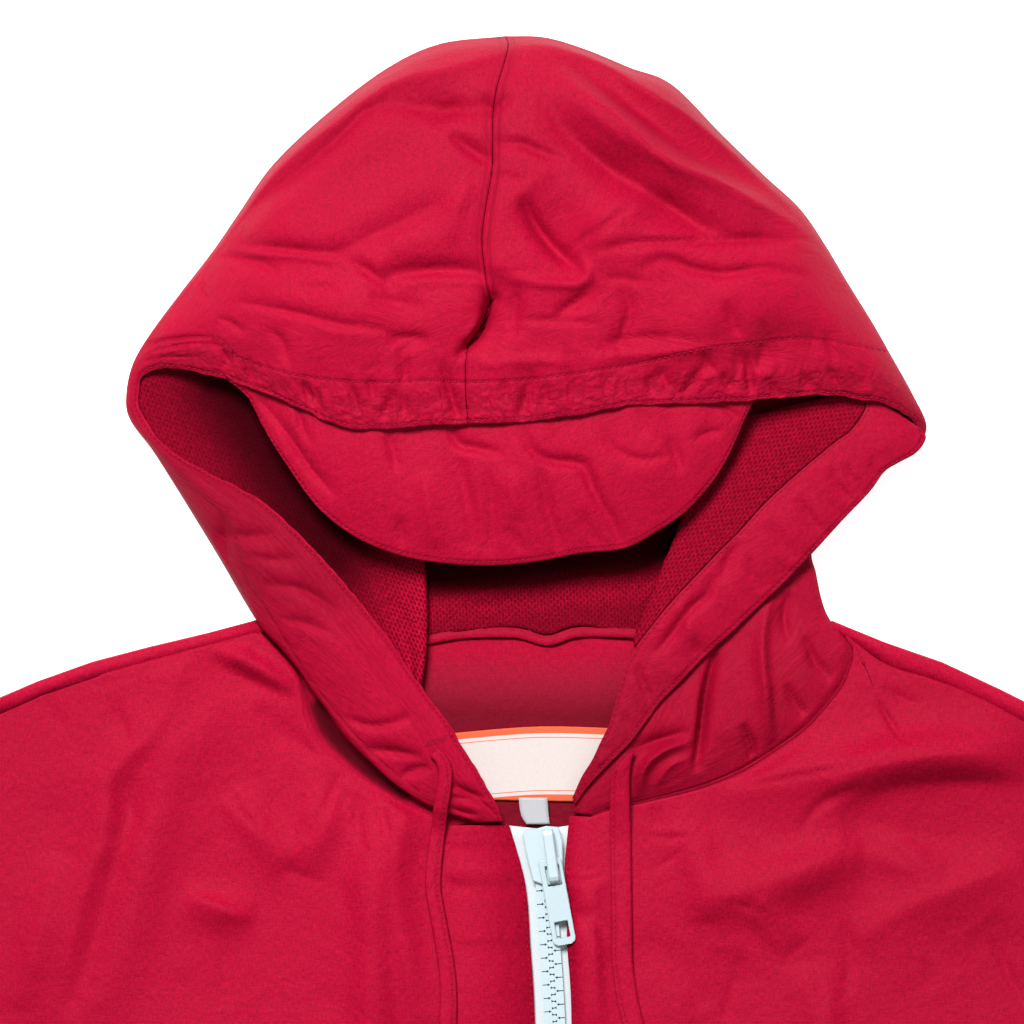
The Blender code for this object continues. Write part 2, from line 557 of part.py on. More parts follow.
def turned_edge(look, mesh_look, parent):
    """The facing that shows where the right front edge is turned out, and the lining beside it."""
    at = np.linspace(0, len(TURNED_EDGE) - 1, 27)
    values = spline(TURNED_EDGE, at)
    rim, seam = values[:, 0:3], values[:, 3:6]
    share = np.linspace(0, 1, 6)[None, :, None]
    net = rim[:, None] + (seam - rim)[:, None] * share
    wide = np.hypot(*(rim - seam)[:, :2].T)[:, None]
    net[..., 2] += 0.05 * wide * np.sin(np.pi * share[..., 0])
    cloth("hood_facing_right", net, look, parent)
    values = values[at < LINING_RIGHT_ROWS]
    seam, roll = values[:, 3:6], values[:, 6:9]
    wide = np.hypot(*(roll - seam)[:, :2].T)[:, None]
    toward = (roll - seam)[:, :2] / wide
    start = seam[:, :2] + toward * (SEAM + 0.1)
    radius = 2.4
    end = roll[:, :2] - toward * radius
    share = np.array([0, 0.2, 0.4, 0.6, 0.8, 1])[None, :]
    x = start[:, 0:1] + (end[:, 0:1] - start[:, 0:1]) * share
    y = start[:, 1:2] + (end[:, 1:2] - start[:, 1:2]) * share
    level = seam[:, 2:3] + (roll[:, 2:3] - seam[:, 2:3]) * share
    z = level + 0.05 * wide * np.sin(np.pi * share)
    net = np.stack([x, y, z], -1)
    net = np.concatenate([net, roll_under(net[:, -1], toward, radius)], 1)
    cloth("hood_lining_right", net, mesh_look, parent)


def roll_under(end, toward, radius, angles=(45, 90, 135, 180)):
    """Stations of an edge that rolls under: end holds its topmost places, toward its plan direction."""
    stations = []
    for angle in np.radians(angles):
        plan = end[:, :2] + toward * radius * math.sin(angle)
        stations.append(np.concatenate([plan, end[:, 2:3] - radius * (1 - math.cos(angle))], 1))
    return np.stack(stations, 1)


def linings(look, parent):
    values = spline(LINING_LEFT, np.linspace(0, len(LINING_LEFT) - 1, 15))
    outer, fold = values[:, 0:3], values[:, 3:6]
    share = np.array([0, 0.07, 0.16, 0.3, 0.45, 0.6, 0.75, 0.88, 1])[None, :]
    toward = (fold - outer)[:, :2]
    toward = toward / np.hypot(*toward.T)[:, None]
    radius = 2.2
    end = fold[:, :2] - toward * radius
    plan = outer[:, None, :2] + (end - outer[:, :2])[:, None] * share[..., None]
    floor = 5.6
    sink = np.exp(-(((share - 0.0) / 0.14) ** 2))
    lift = np.exp(-(((share - 1.0) / 0.2) ** 2))
    z = floor + (outer[:, 2:3] - floor) * sink + (fold[:, 2:3] - floor) * lift
    net = np.concatenate([plan, z[..., None]], -1)
    net = np.concatenate([net, roll_under(net[:, -1], toward, radius)], 1)
    cloth("hood_lining_left", net, look, parent, wall=1.0, flip=True)
    upper, lower = (evenly(line, 15) for line in LINING_BACK)
    share = np.linspace(0, 1, 7)[None, :, None]
    plan = upper[:, None] + (lower - upper)[:, None] * share
    ripple = 0.45 + 0.4 * np.sin(plan[..., 1] / 6 + plan[..., 0] / 17) * (1 - share[..., 0] ** 4)
    net = np.concatenate([plan, (LAYER + 1.0 + ripple)[..., None]], -1)
    cloth("hood_lining_back", net, look, parent, wall=1.0)


# The body and sleeves.


def moved(line, distance):
    """A plan line moved to its left."""
    return line[:, :2] + normals_of(line) * distance


def neck_seam(side):
    """The hood's own places along the front neck, from the shoulder to the centre."""
    _, values, lies_under = hood_rows(side)
    return values[~lies_under, 6:8]


def side_line(side, shares, offset=0.0):
    """The armhole and side seam, from the shoulder tip to the hem, at shares of its length."""
    tip, arm = SHOULDERS[side][1][-1], UNDERARMS[side]
    out = -1 if side == "left" else 1
    points = [tip, (tip[0] + out * 8, tip[1] - 85), (arm[0] - out * 14, arm[1] + 52), arm]
    points += [(arm[0] + out * 2, (arm[1] + HEM) / 2), (out * HEM_HALF, HEM)]
    return evenly(points, shares) - np.array([out * offset, 0])


SLIT_ROWS = 17
DOWN = np.concatenate([np.linspace(0, 0.508, SLIT_ROWS + 1), np.linspace(0.508, 1, 8)[1:]])


def front_half(side):
    """Places of one half of the front, from its side to the slit, and the shares across."""
    out = -1 if side == "left" else 1
    column = 0 if side == "left" else 1
    neck = moved(neck_seam(side), out * (SEAM + 0.1))
    shoulder = evenly(np.array(SHOULDERS[side][1])[::-1], 7)
    shoulder = moved(shoulder, out * (SEAM + 0.1))
    slit = [(row[column], row[2]) for row in ZIP_EDGES] + [(out * 3 + 1, SLIT_END - 20), (out * 4, HEM)]
    slit[0] = FRONT_CORNERS[side]
    inner = evenly(slit, 120)
    top = np.vstack([shoulder, neck[1:], inner[:1]])
    length = np.concatenate([[0], np.cumsum(np.hypot(*np.diff(top, axis=0).T))])
    across = (length / length[-1]) ** 1.4
    return panel_net(top, side_line(side, 120, 0.15), inner, across, DOWN), across


def front_height(x, y, across, down):
    """The front's outer face: low along its seams, with the folds between them."""
    u, v = across[None, :], down[:, None]
    inside = ease(u / 0.12) * ease((1 - v) / 0.06)
    z = SIDE_HEIGHT + (FRONT_HEIGHT - SIDE_HEIGHT) * inside
    fade = ease(u / 0.16) * ease((1 - v) / 0.08) * ease(v / 0.05) * ease((1.02 - u) / 0.12)
    return z + np.maximum(fold_height(x, y, FRONT_FOLDS), -1.2) * fade


def front_body(look, parent):
    left, across_left = front_half("left")
    right, across_right = front_half("right")
    halves = []
    for net, across in ((left, across_left), (right, across_right)):
        z = front_height(net[..., 0], net[..., 1], across, DOWN)
        halves.append(np.concatenate([net, z[..., None]], -1))
    net = np.concatenate([halves[0], halves[1][:, ::-1]], 1)
    keep = np.ones((net.shape[0] - 1, net.shape[1] - 1), bool)
    keep[:SLIT_ROWS, left.shape[1] - 1] = False
    return cloth("front_body", net, look, parent, flip=True, keep=keep)


def back_body(look, parent):
    """The back, flat below, turned over at each shoulder down to the seam."""
    radius = FRONT_HEIGHT / 2
    necks = []
    for side in ("left", "right"):
        _, values, lies_under = hood_rows(side)
        line = values[lies_under, 6:8] - (0, SEAM + 0.1)
        line[-2:, 1] -= (1, 3.6)
        necks.append(line[::-3][::-1])
    neck = np.vstack([necks[0][::-1], necks[1][1:]])
    folds, seams, ups = {}, {}, {}
    for side in ("left", "right"):
        line = evenly(SHOULDERS[side][0], 6)
        seam = evenly(SHOULDERS[side][1], 6)
        if side == "left":
            line, seam = line[::-1], seam[::-1]
        folds[side], seams[side], ups[side] = line, seam, normals_of(line)
    top = np.vstack([
        folds["left"] - ups["left"] * radius, neck, folds["right"] - ups["right"] * radius
    ])
    length = np.concatenate([[0], np.cumsum(np.hypot(*np.diff(top, axis=0).T))])
    across = length / length[-1]
    down = np.concatenate([np.linspace(0, 0.42, 10), np.linspace(0.42, 1, 5)[1:]])
    flat = panel_net(top, side_line("left", 120), side_line("right", 120), across, down)
    flat = np.concatenate([flat, np.zeros((*flat.shape[:2], 1))], -1)
    over = np.zeros((5, len(top), 3))
    for side, columns in (("left", slice(0, 6)), ("right", slice(len(top) - 6, len(top)))):
        for i, angle in enumerate((0.25, 0.5, 0.75, 1.0)):
            turn = angle * math.pi
            plan = folds[side] - ups[side] * radius * (1 - math.sin(turn))
            over[i, columns, :2] = plan
            over[i, columns, 2] = radius * (1 - math.cos(turn))
        over[4, columns, :2] = seams[side] + ups[side] * 0.1
        over[4, columns, 2] = FRONT_HEIGHT
    net = np.concatenate([over[::-1], flat], 0)
    keep = np.ones((net.shape[0] - 1, net.shape[1] - 1), bool)
    keep[:5, 5:len(top) - 6] = False
    cloth("back_body", net, look, parent, flip=False, keep=keep)


def sleeve(side, look, parent):
    """A tube lying flat: rings from the armhole to the open cuff."""
    out = -1 if side == "left" else 1
    tip = np.array(SHOULDERS[side][0][-1], float) + (out * 1, 0)
    arm = np.array(UNDERARMS[side], float) + (out * 3.5, 2)
    angle = math.radians(SLEEVE_ANGLE)
    along = np.array([out * math.cos(angle), -math.sin(angle)])
    inward = np.array([-out * math.sin(angle), -math.cos(angle)])
    end = tip + along * SLEEVE_LENGTH
    end[0] = out * REACH_X
    cuff = end + inward * CUFF_WIDTH
    upper = [tip, tip + (out * 62, -43), tip + along * 230 + (out * 24, 10)]
    upper += [tip + along * 400 + (out * 24, 6), end]
    lower = [arm, arm + (out * 36, -54), arm + (cuff - arm) * 0.55 + (out * 3, 4), cuff]
    rings = 15
    shares = np.linspace(0, 1, rings) ** 1.1
    upper, lower = evenly(upper, shares), evenly(lower, shares)
    wide = np.hypot(*(upper - lower).T)[:, None]
    radius = np.full_like(wide, SLEEVE_HEIGHT / 2)
    radius[:3, 0] = (2.2, 2.6, 3.0)
    over = np.linspace(0, 1, 9)[None, :]
    round_share = radius / wide
    low_share = round_share * (1 + 2 * (1 - shares / 0.25).clip(0, 1)[:, None])
    top_across = round_share + (1 - round_share - low_share) * over
    under_across = round_share + (1 - round_share - low_share) * np.linspace(1, 0, 6)[None, :]
    bulge = 0.8 * np.sin(np.pi * over) * np.sin(np.pi * np.clip(shares, 0.02, 0.98))[:, None]
    top_z = 2 * radius + bulge
    corner = 1 - math.cos(0.25 * math.pi)
    high, low = radius * (2 - corner), radius * corner
    side_z = [high, radius, low]
    side_a = [round_share * corner, 0 * round_share, round_share * corner]
    side_b = [1 - low_share * corner, 1 + 0 * low_share, 1 - low_share * corner]
    across = np.concatenate([top_across, *side_b, under_across, *side_a], 1)
    height = np.concatenate([top_z, *side_z, np.zeros_like(under_across), *side_z[::-1]], 1)
    plan = upper[:, None] + (lower - upper)[:, None] * across[..., None]
    hole = side_line(side, np.linspace(0, 1, 200))
    hole = hole[: int(np.argmin(np.abs(hole[:, 1] - arm[1]))) + 1]
    seam = evenly(hole[::12], across[0])
    seam[:, 0] += out * (0.7 + 1.3 * (1 - across[0]) ** 5 + 2.8 * across[0] ** 5)
    fade = (1 - shares / 0.3).clip(0, 1)[:, None, None] ** 1.5
    plan += fade * (seam - plan[0])[None]
    net = np.concatenate([plan, height[..., None]], -1)
    run = np.cumsum(np.concatenate([[0], np.hypot(*np.diff(upper, axis=0).T)]))
    flat_x = np.repeat(run[:, None], net.shape[1], 1)
    flat_y = -across * wide
    folds = []
    for path, high, width in SLEEVE_FOLDS[side]:
        places = [(a * run[-1], -b * np.interp(a * run[-1], run, wide[:, 0])) for a, b in path]
        folds.append((places, high, width, width))
    count = over.shape[1]
    inside = ease(np.minimum(over, 1 - over) / 0.12)
    fade = ease(shares / 0.1)[:, None] * ease((1 - shares) / 0.08)[:, None] * inside
    net[:, :count, 2] += np.maximum(fold_height(flat_x, flat_y, folds)[:, :count], -1.2) * fade
    cloth(f"sleeve_{side}", net, look, parent, flip=side == "left", closed=True)


# Trims.


def flat_strip(name, first, second, count, wide, height, wall, look, parent, flip=False):
    """A level strip between two plan curves."""
    a, b = evenly(first, count), evenly(second, count)
    share = np.linspace(0, 1, wide)[None, :, None]
    plan = a[:, None] + (b - a)[:, None] * share
    net = np.concatenate([plan, np.full((*plan.shape[:2], 1), height)], -1)
    return cloth(name, net, look, parent, wall=wall, flip=flip)


def label_and_tag(look, tag_look, parent):
    flat_strip("label", *LABEL_EDGES, 12, 4, LAYER + 1.0, 1.0, look, parent)
    flat_strip("size_tag", *SIZE_TAG, 5, 3, LAYER + 1.0 + SEAM + 1.0, 1.0, tag_look, parent, flip=True)


def chain_centre(shares):
    line = [(-2.2, CHAIN_TOP), (-1.1, -33), (0, -48), (1.9, -78), (2.6, -110), (3, SLIT_END + 6)]
    return evenly(line, shares)


def zip_tapes(look, parent):
    """Each tape runs from under the front's edge to beneath the chain."""
    centre = chain_centre(14)
    centre[0, 1] = -4.6
    centre[:, 1] = np.linspace(-4.6, SLIT_END + 3, 14)
    for side, column, out in (("left", 0, -1), ("right", 1, 1)):
        edge = evenly([(row[column] + out * 3, row[2] - 0.4) for row in ZIP_EDGES], 14)
        edge[0, 0] -= out * 3
        edge[:, 1] = np.linspace(-3.2, SLIT_END + 3, 14)
        middle = centre + (out * SEAM / 2, 0)
        flip = side == "left"
        flat_strip(f"zip_tape_{side}", edge, middle, 14, 3, LAYER + 1.0, 1.0, look, parent, flip=flip)


def zip_chain(look, parent):
    line = chain_centre(12)
    across = normals_of(line)
    half = CHAIN_WIDTH / 2
    sides = [line + across * step for step in (half, half - 0.6, 0.6 - half, -half)]
    heights = [4.2, 5.2, 5.2, 4.2]
    net = np.stack([np.concatenate([s, np.full((len(line), 1), h)], 1) for s, h in zip(sides, heights)], 1)
    low = net[:, [3, 0]].copy()
    low[..., 2] = LAYER + 1.0 + SEAM
    net = np.concatenate([net, low], 1)
    points = net.reshape(-1, 3) * MM
    m = net.shape[1]
    faces = [[i * m + j, i * m + (j + 1) % m, (i + 1) * m + (j + 1) % m, (i + 1) * m + j]
             for i in range(len(net) - 1) for j in range(m)]
    last = (len(net) - 1) * m
    faces += [list(range(m))[::-1], list(range(last, last + m))]
    return mesh_object("zip_chain", points, faces, look, parent)


def plate(name, outlines, low, high, look, collection, bevel):
    """A flat outline, less the outlines of its holes, with a thickness and rounded edges."""
    curve = bpy.data.curves.new(name, "CURVE")
    curve.dimensions = "2D"
    curve.fill_mode = "BOTH"
    curve.extrude = (high - low) / 2 * MM
    for outline in outlines:
        line = curve.splines.new("POLY")
        line.points.add(len(outline) - 1)
        for point, (x, y) in zip(line.points, outline):
            point.co = (x * MM, y * MM, (low + high) / 2 * MM, 1)
        line.use_cyclic_u = True
    filled = bpy.data.objects.new("filled", curve)
    bpy.context.scene.collection.objects.link(filled)
    graph = bpy.context.evaluated_depsgraph_get()
    mesh = bpy.data.meshes.new_from_object(filled.evaluated_get(graph))
    bpy.data.objects.remove(filled)
    mesh.materials.append(material(name, look))
    obj = bpy.data.objects.new(name, mesh)
    bpy.data.collections[collection].objects.link(obj)
    weld = obj.modifiers.new("weld", "WELD")
    weld.merge_threshold = 0.00001
    rounded = obj.modifiers.new("round", "BEVEL")
    rounded.width = bevel * MM
    rounded.segments = 1
    rounded.limit_method = "ANGLE"
    rounded.angle_limit = math.radians(40)
    return obj


def zip_slider(look, parent):
    """The slider's upper plate, joined with the bridge that holds the pull."""
    slider = plate("zip_slider", [SLIDER_OUTLINE], SLIDER_BASE, SLIDER_TOP, look, "anorak_pullover", 0.4)
    slider.parent = parent
    half = BRIDGE_WIDTH / 2
    bridge = plate("bridge", [BRIDGE_PROFILE], -half, half, look, "cutters", 0.45)
    (x0, y0), (x1, y1) = BRIDGE_ENDS
    bridge.location = (x0 * MM, y0 * MM, 0)
    bridge.rotation_euler = (math.radians(90), 0, math.atan2(y1 - y0, x1 - x0))
    bridge.parent = parent
    bridge.hide_render = True
    bridge.display_type = "WIRE"
    join = slider.modifiers.new("bridge", "BOOLEAN")
    join.operation = "UNION"
    join.solver = "EXACT"
    join.object = bridge


def pull_tab(look, parent):
    """The pull, its origin on the hinge under the bridge: a plate with a slot and a hole."""
    hinge = bpy.data.objects.new("hinge", None)
    bpy.data.collections["anorak_pullover"].objects.link(hinge)
    hinge.parent = parent
    hinge.location = Vector(HINGE) * MM
    hinge.rotation_euler = (0, 0, math.radians(PULL_TILT))
    half = PULL_THICK / 2
    outlines = [PULL_OUTLINE, PULL_SLOT, PULL_HOLE]
    tab = plate("zip_pull", outlines, -half, half, look, "anorak_pullover", 0.25)
    tab.parent = hinge
    tab.rotation_euler = (math.radians(PULL_DROP), 0, 0)


def drawstrings(look, parent, below):
    """Flat ties laid on whatever lies under them."""
    bpy.context.view_layer.update()
    graph = bpy.context.evaluated_depsgraph_get()
    trees = [BVHTree.FromObject(obj, graph) for obj in below]
    for side, table in DRAWSTRINGS.items():
        line = spline(table, np.linspace(0, len(table) - 1, 28))
        left = normals_of(line)
        share = np.array([-0.5, 0, 0.5])
        plan = line[:, None, :2] + left[:, None] * line[:, None, 2:3] * share[None, :, None]
        spread = np.linspace(-0.6, 0.6, 7)[None, :, None]
        reach = line[:, None, :2] + left[:, None] * line[:, None, 2:3] * spread
        top = np.zeros(len(line))
        for i, row in enumerate(reach):
            for x, y in row:
                for tree in trees:
                    hit = tree.ray_cast(Vector((x * MM, y * MM, 0.2)), Vector((0, 0, -1)))[0]
                    if hit:
                        top[i] = max(top[i], hit.z / MM)
        wide = np.maximum.reduce([np.roll(top, k) for k in (-1, 0, 1)])
        wide[0], wide[-1] = top[:2].max(), top[-2:].max()
        z = np.repeat((wide + SEAM + 1.15)[:, None], 3, 1)
        net = np.concatenate([plan, z[..., None]], -1)
        cloth(f"drawstring_{side}", net, look, parent, wall=1.0, flip=True)


def build_all():
    clear_scene()
    scene = bpy.context.scene
    for name in ("anorak_pullover", "cutters"):
        scene.collection.children.link(bpy.data.collections.new(name))
    bpy.data.collections["cutters"].hide_render = True
    origin = bpy.data.objects.new("garment", None)
    bpy.data.collections["anorak_pullover"].objects.link(origin)
    hood(CLOTH_RED, origin)
    peak(CLOTH_RED, origin)
    turned_edge(CLOTH_RED, MESH_RED, origin)
    linings(MESH_RED, origin)
    front = front_body(CLOTH_RED, origin)
    back_body(CLOTH_RED, origin)
    for side in ("left", "right"):
        sleeve(side, CLOTH_RED, origin)
    label_and_tag(LABEL_WHITE, TAG_GREY, origin)
    zip_tapes(TAPE_WHITE, origin)
    zip_chain(ZIP_WHITE, origin)
    zip_slider(ZIP_WHITE, origin)
    pull_tab(ZIP_WHITE, origin)
    below = [front] + [bpy.data.objects[n] for n in ("hood_left", "hood_right", "hood_facing_right")]
    drawstrings(CLOTH_RED, origin, below)
    origin.location = (0, -CENTRE_Y * MM, 0)
    return scene


build_all()
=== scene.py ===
"""The looks of a hooded anorak pullover with a half zip, lying flat on its back, face up.

Tables are in millimetres, measured from the front neck point: +X to the viewer's right, +Y to the
hood's top, +Z up. placed() moves them into the frame, whose origin is under the middle of the box.
"""
import math

import bpy
import numpy as np
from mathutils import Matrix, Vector
from mathutils.bvhtree import BVHTree


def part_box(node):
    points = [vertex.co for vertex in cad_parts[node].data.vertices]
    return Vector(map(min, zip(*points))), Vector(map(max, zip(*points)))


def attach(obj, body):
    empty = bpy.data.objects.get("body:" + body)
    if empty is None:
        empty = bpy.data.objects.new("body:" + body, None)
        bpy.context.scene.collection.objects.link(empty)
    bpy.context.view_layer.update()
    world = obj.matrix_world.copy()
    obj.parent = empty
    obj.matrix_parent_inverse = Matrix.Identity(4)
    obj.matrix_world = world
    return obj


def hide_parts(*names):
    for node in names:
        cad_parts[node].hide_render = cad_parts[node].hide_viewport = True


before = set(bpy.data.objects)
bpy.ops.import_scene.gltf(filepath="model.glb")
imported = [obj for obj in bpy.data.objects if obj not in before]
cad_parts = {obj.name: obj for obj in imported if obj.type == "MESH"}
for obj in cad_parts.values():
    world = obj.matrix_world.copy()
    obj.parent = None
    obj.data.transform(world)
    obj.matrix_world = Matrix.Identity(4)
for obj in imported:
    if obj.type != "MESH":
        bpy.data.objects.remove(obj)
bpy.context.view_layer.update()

MM = 0.001
WALL = 1.2  # thickness of the cloth in the solids
SEAM = 0.3  # gap between two pieces
LAYER = WALL + SEAM
HOOD_TOP = 297.5
HEM = -545.0
HEM_HALF = 262.0
FRONT_HEIGHT = 4.4
SIDE_HEIGHT = 3.0
SLIT_END = -262.0
CHAIN_TOP = -13.0
SLEEVE_LENGTH = 575.0
SLEEVE_ANGLE = 55.0  # degrees below level
CUFF_WIDTH = 108.0
SLEEVE_HEIGHT = 6.0
REACH_X = 570.0  # how far out the cuffs reach
CENTRE_Y = (HOOD_TOP + HEM) / 2
OUTWARD = {"left": -1, "right": 1}  # which way x goes outwards

# Rows of the hood's halves, from the centre seam round the face edge to the front neck.
# face x, face y, face height, edge x, edge y, edge height, seam x, seam y, crown rise
HOOD_LEFT = (
    (-31, 149.5, 34, -17, 297.5, 6, -7.5, 69, 9),
    (-45.5, 149, 34, -42, 294.5, 6, -16, 69.3, 9),
    (-62.5, 147.5, 33, -62.5, 285, 6, -24, 69.7, 9),
    (-78, 148.5, 31, -85.5, 267.5, 6, -31, 70, 9),
    (-93, 154.5, 28, -105.5, 248.5, 6, -38, 70, 8),
    (-107, 161, 24, -118.5, 230, 6, -44, 70.2, 7),
    (-119.5, 165.5, 20, -128.5, 215.5, 5.5, -50, 70.5, 6),
    (-131.5, 168.5, 16, -140.5, 200, 5, -56, 70.6, 5),
    (-146.5, 171, 11.5, -152, 184.5, 4.5, -62, 71, 3),
    (-154.5, 168, 8, -159, 172.5, 3.5, -67, 71.2, 0.5),
    (-156.5, 161.5, 7, -161.5, 160.5, 3, -72.5, 71.6, 0),
    (-154.5, 152, 7.5, -160, 151.5, 3, -78, 72, 0),
    (-144, 139.5, 10.5, -151.5, 140, 3.5, -84, 72.6, 0.5),
    (-127.5, 130, 14, -143.5, 127.5, 4, -90, 73.4, 2),
    (-112, 122, 16, -134.5, 113, 4.5, -96, 74.4, 3),
    (-97, 109.5, 17, -124.5, 96.5, 4.5, -101.5, 75.2, 3.5),
    (-83.5, 95.5, 17, -117, 83.5, 4.5, -106.5, 76, 3.5),
    (-72, 81.5, 16.5, -109.5, 72, 8, -111, 71, 3.5),
    (-62.5, 69.5, 16, -102, 64, 8.5, -103.5, 63, 3.5),
    (-54, 57.5, 15, -95, 55.5, 9, -96.5, 54.5, 3.5),
    (-47.5, 48, 14, -89.5, 47.5, 9, -94.5, 47.5, 3.5),
    (-40.5, 38.5, 13.5, -83, 39, 9, -93.5, 39, 3),
    (-36.5, 32.5, 13, -76.5, 30, 9, -89, 29.5, 3),
    (-32.5, 25.5, 12, -68, 21.5, 9, -80, 21, 2.5),
    (-27.5, 18, 11, -59.5, 13.5, 8.5, -67, 12.5, 2),
    (-23.5, 10.5, 10, -49, 6.5, 8, -56, 6, 1.5),
    (-20, 4, 9, -38, 1.5, 7, -45, 0.5, 1),
    (-18, -1.5, 7, -26.5, -2, 6, -38.5, -3, 0.5),
)
LEFT_SHOULDER_ROW = 16.5  # past this row the half is sewn to the front neck
HOOD_RIGHT = (
    (-31, 149.5, 34, -17, 297.5, 6, -7.5, 69, 9),
    (-15, 150, 35, -2, 297, 6, -2, 69, 9),
    (-2.5, 151, 35, 13.5, 292.5, 6, 3, 69, 9),
    (13.5, 153.5, 35, 30.5, 285.5, 6, 8, 69, 9),
    (28.5, 156, 34.5, 46.5, 279, 6, 14, 69, 9),
    (46, 157, 33.5, 65.5, 260, 6, 20, 69.3, 9),
    (61, 157.5, 32, 81, 245, 6, 26, 69.6, 9),
    (75, 158, 30, 95, 232, 6, 32, 70, 8),
    (88.5, 159.5, 27, 104.5, 218.5, 6, 37, 70, 7),
    (102, 160.5, 24, 113.5, 203.5, 5.5, 41, 70, 6),
    (114, 159.5, 20, 122.5, 189, 5, 45, 70.3, 5),
    (125.5, 157.5, 16.5, 130.5, 175, 4.5, 48, 70.5, 3),
    (134, 154, 12.5, 138, 161.5, 4, 52, 70.5, 0.5),
    (138, 150, 6.8, 143.5, 149, 3.2, 57, 70.8, 0),
    (127, 149.5, 6.8, 139, 140.5, 3, 62, 71, 0),
    (108, 147.5, 7, 128, 134, 3, 67, 71, 0),
    (83.5, 143.5, 7.5, 118.5, 124, 3.2, 73, 71.5, 0),
    (62.5, 136, 8, 108.5, 113, 3.4, 79, 72, 0),
    (54, 124, 8, 100, 102, 3.6, 85.5, 72, 0),
    (49, 111.5, 8, 101.5, 92.5, 4, 91, 72.5, 1),
    (44, 99, 8, 103.5, 83, 4, 96, 73, 1.5),
    (40, 86.5, 8, 106, 76.5, 3.2, 100.5, 73.5, 2),
    (36, 77, 8, 109, 71, 5.6, 111, 70, 2),
    (32.5, 67.5, 8, 113, 64, 6, 115, 65, 2),
    (29.5, 59.5, 8, 112.5, 58.5, 6, 115, 59, 2.5),
    (27.5, 50.5, 8, 108.5, 50.5, 6, 111.5, 50, 3),
    (25, 43, 8, 101.5, 42.5, 6, 104.5, 41, 3),
    (23, 35.5, 8, 92.5, 35, 6, 96.5, 32.5, 3),
    (20.5, 29, 7.5, 83, 28, 6, 86.5, 25.5, 2.5),
    (17.5, 23, 7.5, 70.5, 21.5, 6, 73, 17, 2),
    (14.5, 17.5, 7, 55.5, 15.5, 5.5, 58, 11, 1.5),
    (12, 12, 6.5, 38, 10, 5.5, 40, 6.5, 1),
    (10, 7, 6, 21.5, 5.5, 5.5, 22.5, 2.5, 0.5),
    (8.2, 2, 5.5, 13.5, 1.7, 5, 15.8, 0.2, 0),
)
RIGHT_SHOULDER_ROW = 21.5
HOOD_HALVES = {"left": (HOOD_LEFT, LEFT_SHOULDER_ROW), "right": (HOOD_RIGHT, RIGHT_SHOULDER_ROW)}

# x, y
CENTRE_SEAM = (
    (-31, 149.5), (-32, 164.5), (-33, 176), (-27.5, 183.5), (-21, 197.5), (-26, 210),
    (-24, 233.5), (-22, 245), (-21.5, 268.5), (-20, 277), (-16, 291.5), (-17, 297.5),
)
# Shoulder folds and the seams below them, from the neck outwards: x, y
SHOULDERS = {
    "left": (
        ((-114.5, 74.5), (-127.5, 71), (-162.5, 62.5), (-186, 55.5), (-216, 43)),
        ((-112, 70.5), (-127.5, 66.5), (-162.5, 57), (-191.5, 48), (-215, 37.5)),
    ),
    "right": (
        ((107.4, 75), (118, 69.9), (142, 62), (163, 53), (213, 28)),
        ((113.2, 69.2), (123.5, 60.5), (142, 54), (163, 46), (211, 20)),
    ),
}
UNDERARMS = {"left": (-256, -172), "right": (254, -188)}
# The tops of the front's two edges: x, y
FRONT_CORNERS = {"left": (-15.5, -3), "right": (7.4, 0.6)}
# The zip's visible edges, from the neck down: left x, right x, y
ZIP_EDGES = (
    (-15.5, 7, -3), (-10.5, 5.5, -20), (-8.5, 6.5, -32), (-7.5, 6.5, -48), (-6, 8, -70),
    (-5, 8.5, -110), (-4.5, 9.5, -180), (-3.5, 9.5, -262),
)
# The peak, from its left end to its right: root x, root y, root height, edge x, edge y, edge height
PEAK = (
    (-123.5, 168.5, 17.5, -122, 166, 17.3),
    (-117.5, 167, 18.5, -114, 159, 18),
    (-109, 163.5, 20.5, -106.5, 144.5, 19),
    (-98.5, 159, 23, -98.5, 132, 20),
    (-88, 155.5, 26, -88.5, 118.5, 21),
    (-78, 151.5, 28.5, -76.5, 108.5, 22),
    (-66.5, 149.5, 30, -63.5, 102, 23),
    (-54, 150, 31, -48.5, 98, 23.5),
    (-39.5, 151.5, 31.5, -28, 96, 24),
    (-23, 151.5, 32, -8.5, 97, 24),
    (-2.5, 152.5, 32.5, 11, 100.5, 24),
    (15, 155.5, 32.5, 28, 102.5, 24),
    (30.5, 158, 32, 40, 108.5, 24),
    (44, 159, 31, 51.5, 116.5, 24.5),
    (57, 160, 30, 61, 127, 25),
    (66.5, 160.5, 28.5, 68, 138.5, 25.5),
    (73, 160.5, 27.5, 73.5, 151, 26),
    (76.5, 160.5, 26.8, 77, 158, 26.3),
)
